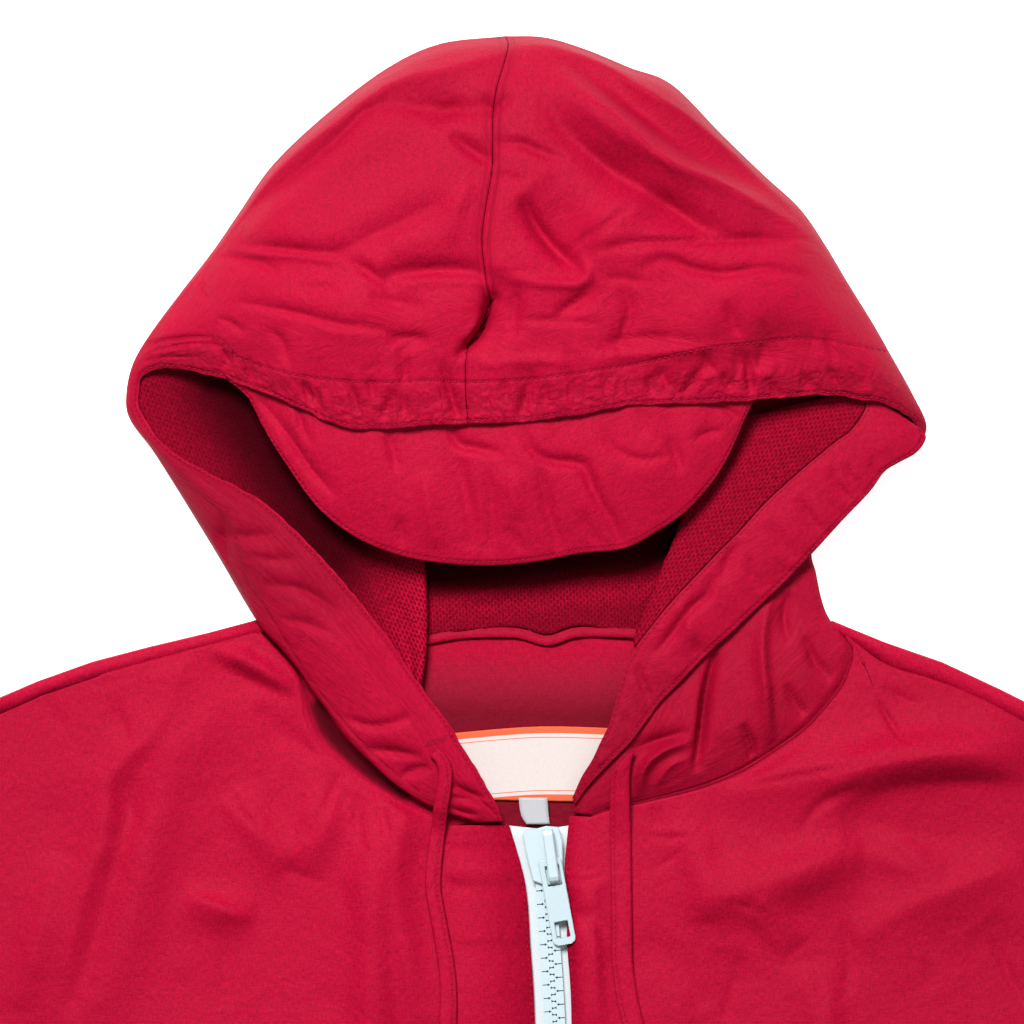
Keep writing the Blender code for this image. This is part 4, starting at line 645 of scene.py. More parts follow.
def fold_height(x, y, folds, power=2):
    """What the folds add at each place: a ridge or trough that fades towards its ends. Crests are
    sharper as the power, or a fold's own fifth entry, falls from 2 to 1."""
    total = np.zeros(x.shape)
    for path, height, left, right, *own in folds:
        line = evenly(np.reshape(path, (-1, 2)), 14)
        reach = 2.6 * max(left, right)
        low, high = line.min(0) - reach, line.max(0) + reach
        near = (x > low[0]) & (x < high[0]) & (y > low[1]) & (y < high[1])
        if not near.any():
            continue
        distance, side, along = nearest_on(x[near], y[near], line)
        width = np.where(side > 0, left, right)
        profile = np.exp(-((distance / width) ** (own[0] if own else power)))
        total[near] += height * profile * np.sin(np.pi * along) ** 0.7
    return total


def signed_to(x, y, line):
    """Distance from a plan line, below zero on its right."""
    distance, side, _ = nearest_on(x, y, line)
    return np.where(side > 0, distance, -distance)


def softly_above(z, low):
    """Heights whose troughs stay above a low limit, with no hard turn."""
    return np.where(z < 0, low * np.tanh(z / low), z)


def puckers(x, y, line, height, pitch, reach, seed):
    """Short uneven ridges across a sewn line, fading with the distance from it. The line is even."""
    distance, _, along = nearest_on(x, y, line)
    along = along * spans(line).sum()
    return height * waves(along, pitch, seed) * np.exp(-((distance / reach) ** 2))


def closest(*fields):
    """Of several signed distances, the one nearest to zero at each place."""
    best = fields[0]
    for field in fields[1:]:
        best = np.where(np.abs(field) < np.abs(best), field, best)
    return best


def sewn_field(shape, distance=9.0, along=0.0, gather=0.0):
    """For each place of a net, in millimetres: how far it is from a sewn line, how far along that line,
    and how high the line's gathers stand there."""
    return np.stack([np.broadcast_to(v, shape) for v in (np.clip(distance, -9, 9), along, gather)], -1)


def waves(s, pitch, seed):
    """A smooth uneven wave along s, about that pitch, between -1 and 1."""
    random = np.random.default_rng(seed)
    total = np.zeros(np.shape(s))
    for k, share in enumerate((1.0, 0.5)):
        places = random.uniform(-1, 1, 512)
        at = np.asarray(s) / (pitch * 0.5 ** k) + 64 * k
        i = np.floor(at).astype(int)
        f = ease(at - i)
        total += share * (places[i % 512] * (1 - f) + places[(i + 1) % 512] * f)
    return total


def hills(x, y, size, seed):
    """Smooth uneven ground of that size across the plan, between -1 and 1."""
    random = np.random.default_rng(seed)
    ground = random.uniform(-1, 1, (256, 256))
    i, j = np.floor(x / size).astype(int), np.floor(y / size).astype(int)
    f, g = ease(x / size - i), ease(y / size - j)
    a, b = ground[i % 256, j % 256], ground[(i + 1) % 256, j % 256]
    c, d = ground[i % 256, (j + 1) % 256], ground[(i + 1) % 256, (j + 1) % 256]
    return (a * (1 - f) + b * f) * (1 - g) + (c * (1 - f) + d * f) * g


def panel_net(top, start, end, across, down):
    """Places of a panel between two side curves, both given from the top down, under the curve top.
    The shares across and down say where its lines run; the top's own shape fades out downwards."""
    base = top[:, 1].mean()
    v = down[:, None]
    y = base + (start[-1, 1] - base) * v + (top[:, 1] - base) * fade_out(v, 0.4)

    def sides(at_y):
        return (np.interp(-at_y, -line[:, 1], line[:, 0]) for line in (start, end))

    left, right = sides(top[:, 1])
    at_top = (top[:, 0] - left) / (right - left)
    in_order = np.minimum.accumulate(at_top[::-1])[::-1]
    share = at_top + (in_order - at_top) * ease(v / 0.01)
    share = across + (share - across) * fade_out(v, 0.2)
    left, right = sides(y)
    return np.stack([left + (right - left) * share, y], -1)


# Nets: rows of places, each row with as many stations.


def steps(lengths, cell):
    """Where a net is cut: at 0, 0.5, 1, ... so that each piece is about a cell long."""
    counts = np.maximum(1, np.round(lengths / cell)).astype(int)
    parts = [np.arange(count) / count + i for i, count in enumerate(counts)]
    return np.concatenate([*parts, [len(lengths)]])


def longest_steps(net, axis):
    """The longest step between each row and the next (axis 0), or station and the next (axis 1)."""
    return np.linalg.norm(np.diff(net, axis=axis), axis=-1).max(1 - axis)


def rows_of(table):
    """Where a table's rows are cut, so that each piece is about a cell long."""
    table = np.array(table)
    return steps(longest_steps(table.reshape(len(table), -1, 3), 0), CELL)


def refine(net, down, across):
    """The net cut at those places down and across, smooth through its own."""
    rows = spline(net, down)
    return spline(rows.swapaxes(0, 1), across).swapaxes(0, 1)


def between(first, second, share):
    """Rows of places on the straight way from a first line to a second, at those shares of it."""
    return first[:, None] + (second - first)[:, None] * share[..., None]


def with_heights(plan, z):
    """Places from their plan and their heights."""
    return np.concatenate([plan, np.broadcast_to(z, plan.shape[:-1])[..., None]], -1)


def run(net, axis):
    """How far each place of a net lies from its first row (axis 0) or first station (axis 1)."""
    step = np.linalg.norm(np.diff(net, axis=axis), axis=-1)
    along = np.cumsum(step, axis=axis)
    pad = [(0, 0), (0, 0)]
    pad[axis] = (1, 0)
    return np.pad(along, pad)


def line_at(net, distance):
    """The line at a distance from the first station, or from the last if it is below zero."""
    across = net if distance > 0 else net[:, ::-1]
    return np.array([[np.interp(abs(distance), along, row[:, k]) for k in range(3)]
                     for along, row in zip(run(across, 1), across)])


# Pieces.


def placed(points):
    return (np.asarray(points, float).reshape(-1, 3) - (0, CENTRE_Y, 0)) * MM


def grid_faces(n, m, keep=None, closed=False, flip=False):
    number = np.arange(n * m).reshape(n, m)
    if closed:
        number = np.concatenate([number, number[:, :1]], 1)
    quads = np.stack([number[:-1, :-1], number[:-1, 1:], number[1:, 1:], number[1:, :-1]], -1)
    if keep is not None:
        quads = quads[keep]
    quads = quads.reshape(-1, 4)
    return quads[:, ::-1] if flip else quads


def linked(name, data):
    """A new object in the scene."""
    obj = bpy.data.objects.new(name, data)
    bpy.context.scene.collection.objects.link(obj)
    return obj


def mesh_piece(name, points, faces, look):
    """A piece from places in the frame's metres."""
    mesh = bpy.data.meshes.new(name)
    mesh.from_pydata(np.asarray(points).tolist(), [], [list(f) for f in faces])
    obj = linked(name, mesh)
    mesh.materials.append(look)
    mesh.shade_smooth()
    return obj


def add_map(obj, name, u, v):
    """Gives the piece a map of its cloth, in metres."""
    layer = obj.data.uv_layers.new(name=name)
    corners = np.zeros(len(obj.data.loops), int)
    obj.data.loops.foreach_get("vertex_index", corners)
    values = np.stack([np.ravel(u), np.ravel(v)], -1)[corners]
    layer.data.foreach_set("uv", values.astype(np.float32).ravel())


def add_values(mesh, name, values):
    """Gives each place of a mesh its own vector, or its own number."""
    kind, key = ("FLOAT_VECTOR", "vector") if values.ndim == 2 else ("FLOAT", "value")
    layer = mesh.attributes.new(name, kind, "POINT")
    layer.data.foreach_set(key, values.astype(np.float32).ravel())


def declare_sheet(net, keep):
    """Works out the width, length and area of what shows of a piece, from its net; nothing is done with
    them.
    """
    wide, long = run(net, 1).max() * MM, run(net, 0).max() * MM
    corners = net[:-1, :-1], net[1:, :-1], net[1:, 1:], net[:-1, 1:]
    area = 0.5 * np.linalg.norm(np.cross(corners[2] - corners[0], corners[3] - corners[1]), axis=-1)
    area = (area if keep is None else area[keep]).sum() * MM * MM
    area = min(max(area, 0.301 * wide * long), wide * long)


def cloth(name, net, look, keep=None, wall=CLOTH, flip=False, closed=False, uv=None, replaces=None,
          sewn=None, deep=0.0, rests_on=("back_body",)):
    """A net of places as a sheet with its wall behind its face, and a map of its threads. It carries
    its sewn field, and its painted shade: how much each place's colour is darkened, from 0 to 1,
    where shade of other layers falls on it and where it faces away from the light."""
    faces = grid_faces(*net.shape[:2], keep, closed, flip)
    used = np.unique(faces)
    number = np.zeros(net.shape[0] * net.shape[1], int)
    number[used] = np.arange(len(used))
    obj = mesh_piece(name, placed(net)[used], number[faces].tolist(), look)
    u, v = uv if uv is not None else (run(net, 0), run(net, 1))
    add_map(obj, "threads", u.ravel()[used] * MM, v.ravel()[used] * MM)
    field = sewn_field(net.shape[:2]) if sewn is None else sewn
    add_values(obj.data, "sewn", field.reshape(-1, 3)[used])
    # The painted shade, which darkens the piece's colour.
    add_values(obj.data, "deep", np.broadcast_to(deep, net.shape[:2]).ravel()[used])
    solid = obj.modifiers.new("wall", "SOLIDIFY")
    solid.thickness = wall * MM
    solid.offset = -1
    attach(obj, "garment")
    if replaces != "nothing":
        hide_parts(replaces or name.rsplit("_cloth", 1)[0])
    if rests_on is not None:
        declare_sheet(np.concatenate([net, net[:, :1]], 1) if closed else net, keep)
    return obj


# The hood.


TOP = 14  # stations over the top of the hood, in the coarse net
TOP_SHARES = 1 - (1 - np.linspace(0, 1, TOP)) ** 1.35
TOWARDS_SEAM = 0.72  # how far the right half's edge past the shoulder is drawn to its seam


def hood_rows(side):
    """A hood half's row numbers, its table and which rows lie under, before the shoulder."""
    table, shoulder_row = HOOD_HALVES[side]
    at = np.arange(len(table), dtype=float)
    return at, np.array(table, float), at < shoulder_row


def beside_height(side, radius, share):
    """How high the cloth beside the hood's edge is, on its way to the front neck seam: on the left it
    sinks into a hollow, on the right it falls evenly to the seam."""
    rise = radius - FRONT_HEIGHT
    if side == "left":
        return FRONT_HEIGHT + rise * (1 - share) ** 9 - 2.2 * math.sin(math.pi * share ** 0.7)
    return FRONT_HEIGHT + rise * (1 - share) ** 1.2


def hood_stations(side, under, pull):
    """A hood half as rows: from the face edge over the top to the edge, then round it and under to
    the seam, or, past the shoulder, down beside the edge to the front neck seam. The pull is how
    far the part that lies under bends inwards on its way, past the notch below the tip."""
    at, values, lies_under = hood_rows(side)
    face, edge, seam, rise = values[:, 0:3], values[:, 3:6], values[:, 6:8], values[:, 8:9]
    if side == "right":
        edge[~lies_under, :2] += TOWARDS_SEAM * (seam - edge[:, :2])[~lies_under]
        edge[~lies_under, 2] = FRONT_HEIGHT
    outward = normals_of(edge) * OUTWARD[side]
    outward[0] = (0, 1)
    lies_under = lies_under[:, None]
    long = plan_gap(edge, face)
    inward = long * (1 - TOP_SHARES)
    round_width = np.minimum(0.95 * long, 30)
    bow = np.sqrt(np.clip(1 - (1 - np.clip(inward / round_width, 0, 1)) ** 2, 0, 1))
    z = edge[:, 2:3] + (face[:, 2:3] - edge[:, 2:3]) * bow
    z += rise * np.sin(np.pi * np.clip(inward / long, 0, 1)) * bow
    stations = [with_heights(between(face[:, :2], edge[:, :2], TOP_SHARES[None, :]), z)]
    radius = edge[:, 2:3]
    for angle in (0.25 * math.pi, 0.5 * math.pi):
        turned = edge[:, :2] - outward * radius * (1 - math.cos(angle))
        low = radius * (1 - math.sin(angle))
        step = angle / math.pi * (0.36 if side == "left" else 0.9)
        beside = edge[:, :2] + (seam - edge[:, :2]) * step
        down = beside_height(side, radius, step)
        plan = np.where(lies_under, turned, beside)
        stations.append(with_heights(plan, np.where(lies_under, low, down)[:, 0])[:, None])
    turn = stations[-1][:, 0]
    deep = np.where(lies_under, edge[:, 1:2] - seam[:, 1:2], 0)
    weight = ease((at[:, None] - 5) / 7) * np.clip(deep / 30, 0, 1) * (pull > 0)
    middle = (turn[:, :2] + seam) / 2 * (1 - weight) + weight * (seam + (-pull, 0) + (0, 0.5) * deep)
    for share in np.linspace(0, 1, under + 1)[1:]:
        plan = (1 - share) ** 2 * turn[:, :2] + 2 * share * (1 - share) * middle + share**2 * seam
        passed = 0.18 if side == "left" else 0.45
        fall = beside_height(side, radius, passed + (1 - passed) * share)
        stations.append(with_heights(plan, np.where(lies_under, 0, fall)[:, 0])[:, None])
    return np.concatenate(stations, 1), at


def follow_centre_seam(net, at, out):
    """Bends the first rows of the crown to the wavy centre seam, half a gap to their own side."""
    bend = evenly(CENTRE_SEAM, TOP_SHARES) - net[0, :TOP, :2]
    fade = np.clip(1 - at / 5, 0, 1) ** 1.5
    net[:, :TOP, :2] += fade[:, None, None] * bend[None]
    net[0, :, 0] += out * SEAM / 2
    return net


def hood_net(side):
    """The fine net of a hood half, its row numbers, how many stations are over its top, and which
    cells it keeps: past the shoulder the part beside the edge starts anew."""
    under, pull = (5, 0) if side == "left" else (4, 12)
    net, at = hood_stations(side, under, pull)
    net = follow_centre_seam(net, at, OUTWARD[side])
    last = hood_rows(side)[2].sum() - 1
    down = steps(longest_steps(net[:, :TOP], 0), CELL)
    long = longest_steps(net, 1)
    over = steps(long[:TOP - 1], CELL)
    beside = TOP - 1 + steps(long[TOP - 1:], COARSE)
    upper = refine(net[:, :TOP], down, over)
    first, second = down <= last, down >= last + 1
    lower = spline(net.swapaxes(0, 1), beside).swapaxes(0, 1)
    lower = np.concatenate([
        spline(lower[:last + 1], down[first]),
        spline(lower, down[~first & ~second]),
        spline(lower[last + 1:], down[second] - last - 1),
    ])
    fine = np.concatenate([upper, lower[:, 1:]], 1)
    count = upper.shape[1]
    keep = np.ones((fine.shape[0] - 1, fine.shape[1] - 1), bool)
    middle = (down[:-1] + down[1:]) / 2
    keep[(middle > last) & (middle < last + 1), count - 1:] = False
    return fine, down, count, keep


def centre_closed(net, sewn, keep):
    """A hood half with one more row past the centre seam, turned down so that the seam is closed."""
    sideways, depth = 0.12, 1.5
    out = (net[0] - net[1]) * (1, 1, 0)
    out /= np.maximum(np.linalg.norm(out, axis=-1, keepdims=True), 1e-6)
    row = net[0] + out * sideways - (0, 0, depth)
    row[:, 2] = np.maximum(row[:, 2], 0)
    sewn, keep = (np.concatenate([rows[:1], rows]) for rows in (sewn, keep))
    return np.concatenate([row[None], net]), sewn, keep


def hood(look):
    """Both halves of the hood. Returns their nets, and of each the part over the top."""
    nets, tops = {}, {}
    casing = evenly(CASING_SEAM, 160)
    for side, last_row in (("left", 8), ("right", 11)):
        net, at, count, keep = hood_net(side)
        values = spline(hood_rows(side)[1], at)
        top = net[:, :count]
        away = np.hypot(top[..., 0] - values[:, 3:4], top[..., 1] - values[:, 4:5])
        fade = ease(away / 16) * ease((last_row - at) / 3)[:, None]
        x, y, from_face = top[..., 0], top[..., 1], run(top, 1)
        rise = fold_height(x, y, CROWN_FOLDS) * fade
        rise += 2.5 * fold_height(x, y, CROWN_CREASES, 1.35) * ease(away / 4) * ease(from_face / 3)
        gathered = 3.0 * fold_height(x, y, GATHERS, 1.3) + puckers(x, y, casing, 1.0, 6.5, 9, 5)
        rise += gathered * ease((from_face + 1) / 2.5)
        rise += 0.3 * hills(x, y, 11, 3) * ease(away / 5) + 0.12 * hills(x, y, 4.5, 4)
        top[..., 2] += rise
        inward = top[:, 1:2, :2] - top[:, :1, :2]
        inward /= np.linalg.norm(inward, axis=-1, keepdims=True)
        scallop = 0.42 * waves(run(net, 0)[:, :1], 4.6, 17) * np.exp(-from_face / 2.5)
        top[..., :2] += inward * (scallop * ease((at - 0.5) / 3)[:, None])[..., None]
        to_casing = -signed_to(x, y, casing)
        lines = [from_face - FACE_STITCH, to_casing]
        if side == "left":
            lines.append(signed_to(x, y, evenly(LEFT_PANEL_SEAM, 120)))
        within = ease((to_casing + 7) / 7) * ease((17 - from_face) / 7)
        gather = (0.03 + 0.5 * within) * ease((last_row + 2 - at) / 3)[:, None] + 0.02
        sewn = sewn_field(net.shape[:2])
        along = run(net, 0)[:, :1]
        sewn[:, :count] = sewn_field(top.shape[:2], closest(*lines), along, gather * ease(away / 6))
        # Painted shade: past the tips, the left panel darker towards its top and the right half's cloth
        # evenly darker, as they face away from the light; the crown darker towards its top; and the darkest
        # shade painted along the hollow beside the left panel's fold.
        deep = 0.34 * ease((net[..., 1] - 60) / 30) if side == "left" else np.full(net.shape[:2], 0.22)
        deep *= ease((at - 10) / 3)[:, None]
        deep += 0.15 * ease((net[..., 1] - 200) / 70)
        if side == "left":
            far, _, _ = nearest_on(net[..., 0], net[..., 1], evenly(HOLLOW, 40))
            deep[:, count:] = np.maximum(deep, 0.98 * np.exp(-((far / 3.4) ** 4)))[:, count:]
        tops[side] = top
        net, sewn, keep = centre_closed(net, sewn, keep)
        deep = np.concatenate([deep[:1], deep])
        cloth(f"hood_{side}_cloth", net, look, keep, flip=side == "right", sewn=sewn, deep=deep)
        nets[side] = net
    return nets, tops


def peak(look):
    """The brim under the face edge, from its root to its outer edge."""
    values = spline(PEAK, rows_of(PEAK))
    share = np.linspace(0, 1, 42)[None, :]
    net = between(values[:, 0:3], values[:, 3:6], share)
    deep = plan_gap(values[:, 0:2], values[:, 3:5])
    net[..., 2] += 0.06 * deep * np.sin(np.pi * share)
    x, y = net[..., 0], net[..., 1]
    from_edge = run(net, 1)[:, -1:] - run(net, 1)
    rise = 2.8 * fold_height(x, y, PEAK_CREASES, 1.5) + 0.35 * hills(x, y, 12, 8)
    rise += puckers(x, y, evenly(values[:, 0:2], 60), 1.7, 15, 36, 31)
    net[..., 2] += rise * ease((from_edge + 1) / 4)
    along, from_root = run(net, 0)[:, -1:], run(net, 1)
    gather = 0.03 + 0.05 * np.exp(-from_edge / 4) + 0.14 * np.exp(-from_root / 9)
    cloth("peak_cloth", net, look, sewn=sewn_field(x.shape, from_edge - FACE_STITCH, along, gather))
    return net


def rolled_under(net, toward, radius):
    """The net with more stations past its last one, rolled under; toward is their plan direction."""
    end, stations = net[:, -1], []
    for angle in np.radians((22, 45, 68, 90, 112, 135, 180)):
        plan = end[:, :2] + toward * radius * math.sin(angle)
        stations.append(with_heights(plan, end[:, 2] - radius * (1 - math.cos(angle))))
    return np.concatenate([net, np.stack(stations, 1)], 1)


def turned_edge(look, mesh_look):
    """The facing that shows where the right front edge is turned out, and the lining beside it."""
    at = rows_of(TURNED_EDGE)
    values = spline(TURNED_EDGE, at)
    rim, seam = values[:, 0:3], values[:, 3:6]
    share = np.linspace(0, 1, 24)[None, :]
    net = between(rim, seam, share)
    wide = plan_gap(rim, seam)
    net[..., 2] += 0.05 * wide * np.sin(np.pi * share)
    x, y, from_rim = net[..., 0], net[..., 1], run(net, 1)
    rim_line = evenly(rim[:, :2], 120)
    rise = 2.3 * fold_height(x, y, FACING_CREASES, 1.5) + puckers(x, y, rim_line, 0.5, 5, 14, 6)
    rise += 0.2 * hills(x, y, 7, 9)
    net[..., 2] += rise * ease(from_rim / 3) * ease((from_rim[:, -1:] - from_rim) / 4)
    distance = closest(from_rim - FACE_STITCH, from_rim[:, -1:] - 1 - from_rim)
    gather = 0.05 + 0.08 * np.exp(-from_rim / 5)
    sewn = sewn_field(x.shape, distance, run(net, 0)[:, :1], gather)
    # Painted shade: the facing darker towards its lower end.
    cloth("hood_facing_right_cloth", net, look, sewn=sewn, deep=0.08 + 0.24 * ease((75 - y) / 35))
    values = values[at < LINING_RIGHT_ROWS]
    seam, roll = values[:, 3:6], values[:, 6:9]
    wide = plan_gap(roll, seam)
    toward = (roll - seam)[:, :2] / wide
    start = seam[:, :2] + toward * (SEAM + 0.1)
    radius = 2.4
    end = roll[:, :2] - toward * radius
    share = np.linspace(0, 1, 28)[None, :]
    level = seam[:, 2:3] + (roll[:, 2:3] - seam[:, 2:3]) * share
    lining = with_heights(between(start, end, share), level + 0.05 * wide * np.sin(np.pi * share))
    lining = rolled_under(lining, toward, radius)
    # Painted shade all over the lining beside the facing.
    cloth("hood_lining_right_cloth", lining, mesh_look, uv=turned_map(lining, -35),
          deep=0.42)
    return net


def turned_map(net, degrees):
    """The map of a sheet whose threads run at an angle to the frame."""
    turn = math.radians(degrees)
    x, y = net[..., 0], net[..., 1]
    return x * math.cos(turn) + y * math.sin(turn), y * math.cos(turn) - x * math.sin(turn)


def linings(look):
    """The mesh lining of the hood's left side and of its back."""
    values = spline(LINING_LEFT, rows_of(LINING_LEFT))
    outer, fold = values[:, 0:3], values[:, 3:6]
    share = np.linspace(0, 1, 64)[None, :]
    toward = (fold - outer)[:, :2]
    toward = toward / np.hypot(*toward.T)[:, None]
    radius = 2.2
    end = fold[:, :2] - toward * radius
    floor = 5.6
    sink = np.exp(-((share / 0.42) ** 2))
    lift = np.exp(-(((share - 1.0) / 0.2) ** 2))
    z = floor + (outer[:, 2:3] - floor) * sink + (fold[:, 2:3] - floor) * lift
    net = with_heights(between(outer[:, :2], end, share), z)
    net = rolled_under(net, toward, radius)
    x, y = net[..., 0], net[..., 1]
    net[..., 2] += fold_height(x, y, LINING_FOLDS, 1.6)
    # Painted shade: the whole left lining darkened, darkest along LINING_SHADE, with painted light along its
    # fold lower down.
    far, _, _ = nearest_on(x, y, np.array(LINING_SHADE, float))
    lit = np.exp(-(((x - fold[:, None, 0]) / 17) ** 2)) * ease((112 - y) / 20)
    shaded = 0.5 + 0.47 * np.exp(-((far / 21) ** 2.6)) - 0.38 * lit
    cloth("hood_lining_left_cloth", net, look, flip=True, uv=turned_map(net, 24),
          deep=shaded)
    share = np.linspace(0, 1, 56)[None, :]
    plan = between(*(evenly(line, 80) for line in LINING_BACK), share)
    x, y = plan[..., 0], plan[..., 1]
    ripple = 0.45 + 0.4 * np.sin(y / 6 + x / 17) * (1 - share ** 4)
    net = with_heights(plan, CLEAR + ripple)
    net[..., 2] += fold_height(x, y, LINING_FOLDS, 1.6)
    # Painted shade: the back lining darkened, darker towards its top under the peak, with a lighter band
    # painted along the fold lower down.
    past = y - 84 - 0.12 * x
    shaded = 0.58 + 0.4 * ease(past / 12) - 0.25 * np.exp(-((past / 5) ** 2))
    cloth("hood_lining_back_cloth", net, look, uv=turned_map(net, 4), deep=shaded)


def neck_roll(look):
    """The seam that joins the hood to the back neck, rolled up inside, from side to side."""
    line = evenly(NECK_ROLL, 90)
    across = np.linspace(-1, 1, 9)
    plan = line[:, None, :2] + normals_of(line)[:, None] * (NECK_ROLL_HALF * across)[None, :, None]
    z = 2.4 + 0.75 * np.sqrt(1 - 0.96 * across**2)
    net = with_heights(plan, z + puckers(plan[..., 0], plan[..., 1], line, 0.3, 7, 9, 21))
    sewn = sewn_field(plan.shape[:2], (across * NECK_ROLL_HALF)[None] - 1.0, run(net, 0)[:, :1], 0.15)
    # Painted shade darkens it a little.
    cloth("neck_roll_cloth", net, look, wall=0.5, flip=True, replaces="nothing", sewn=sewn, deep=0.12,
          rests_on=None)


def rim_roll(look, top):
    """The turned face edge of the left panel, a thin roll from the hood's left tip to the neck."""
    top = top[int(top[:, 0, 0].argmin()):]
    rim, inward = top[:, None, 0], top[:, 1] - top[:, 0]
    inward = inward[:, None, :2] / np.linalg.norm(inward[:, :2], axis=1)[:, None, None]
    turn = np.linspace(-0.2, 1, 8) * math.pi
    plan = rim[..., :2] + inward * (RIM_ROLL * (0.7 - np.cos(turn)))[None, :, None]
    z = rim[..., 2] - 0.3 + RIM_ROLL * np.sin(turn) + 0.2 * waves(run(rim, 0)[:, :1], 4.0, 18)
    net = with_heights(plan, z)
    cloth("rim_roll_cloth", net, look, wall=0.3, replaces="nothing", rests_on=None)


# The body and sleeves.


def moved(line, distance):
    """A plan line moved to its left."""
    return line[:, :2] + normals_of(line) * distance


def neck_seam(side):
    """The hood's own places along the front neck, from the shoulder to the centre."""
    _, values, lies_under = hood_rows(side)
    return values[~lies_under, 6:8]


def side_line(side, shares, offset=0.0):
    """The armhole and side seam, from the shoulder tip to the hem, at shares of its length."""
    tip, arm = SHOULDERS[side][1][-1], UNDERARMS[side]
    out = OUTWARD[side]
    points = [tip, (tip[0] + out * 8, tip[1] - 85), (arm[0] - out * 14, arm[1] + 52), arm]
    points += [(arm[0] + out * 2, (arm[1] + HEM) / 2), (out * HEM_HALF, HEM)]
    return evenly(points, shares) - np.array([out * offset, 0])


# Painted shade across the front and sleeves, by x: darker towards the right and a little towards the far
# left.
FRONT_SHADE = ((-200, 0.1), (-130, 0.05), (-60, 0.0), (20, 0.04), (80, 0.11), (200, 0.17))  # x, shade
SLIT_SHARE = 0.508  # the share down where the slit ends
BELOW_VIEW = 0.3  # the share down past which the front is netted coarsely
ARMHOLE_GAP = 0.15  # from the body's side to the armhole seam, and from there to the sleeve


def front_half(side, neck_at, shoulder_count, down):
    """Places of one half of the front, from its side to the slit, and the shares across."""
    out = OUTWARD[side]
    column = 0 if side == "left" else 1
    neck = spline(neck_seam(side), neck_at)
    shoulder = moved(evenly(np.array(SHOULDERS[side][1])[::-1], 7), out * 0.1)
    shoulder = spline(shoulder, np.linspace(0, 6, shoulder_count))
    slit = [(row[column], row[2]) for row in ZIP_EDGES] + [(out * 3 + 1, SLIT_END - 20), (out * 4, HEM)]
    slit[0] = FRONT_CORNERS[side]
    inner = evenly(slit, 240)
    top = np.vstack([shoulder, neck[1:], inner[:1]])
    length = along_line(top)
    across = (length / length[-1]) ** 1.4
    return panel_net(top, side_line(side, 240, ARMHOLE_GAP), inner, across, down), across


def front_height(x, y, across, down):
    """The front's outer face: low along its seams, with the folds between them."""
    u, v = across[None, :], down[:, None]
    inside = ease(u / 0.12) * ease((1 - v) / 0.06)
    z = SIDE_HEIGHT + (FRONT_HEIGHT - SIDE_HEIGHT) * inside
    fade = ease(u / 0.16) * ease((1 - v) / 0.08) * ease(v / 0.05) * ease((1.02 - u) / 0.12)
    z += softly_above(1.3 * fold_height(x, y, FRONT_FOLDS), -1.6) * fade
    fade = ease(u / 0.1) * ease((1 - v) / 0.05) * ease(v / 0.012) * ease((1.005 - u) / 0.03)
    rise = 2.1 * fold_height(x, y, FRONT_CREASES, 1.5)
    rise += 0.4 * hills(x, y, 17, 12) + 0.2 * hills(x, y, 7, 13)
    return z + softly_above(rise, -1.6) * fade


def front_body(look):
    """The front, slit from the neck down. Returns its halves' nets."""
    down = np.concatenate([np.linspace(0, BELOW_VIEW, 130), np.linspace(BELOW_VIEW, 1, 48)[1:]])
    slit_rows = int((down < SLIT_SHARE).sum())
    down[slit_rows] = SLIT_SHARE
    halves = []
    for side in ("left", "right"):
        neck_at = steps(spans(neck_seam(side)), CELL)
        net, across = front_half(side, neck_at, 58, down)
        halves.append(with_heights(net, front_height(net[..., 0], net[..., 1], across, down)))
    net = np.concatenate([halves[0], halves[1][:, ::-1]], 1)
    keep = np.ones((net.shape[0] - 1, net.shape[1] - 1), bool)
    keep[:slit_rows, halves[0].shape[1] - 1] = False
    # Painted shade, by x.
    shaded = np.interp(net[..., 0], *np.array(FRONT_SHADE).T)
    cloth("front_body_cloth", net, look, keep, flip=True, uv=(net[..., 0], net[..., 1]), deep=shaded)
    return halves


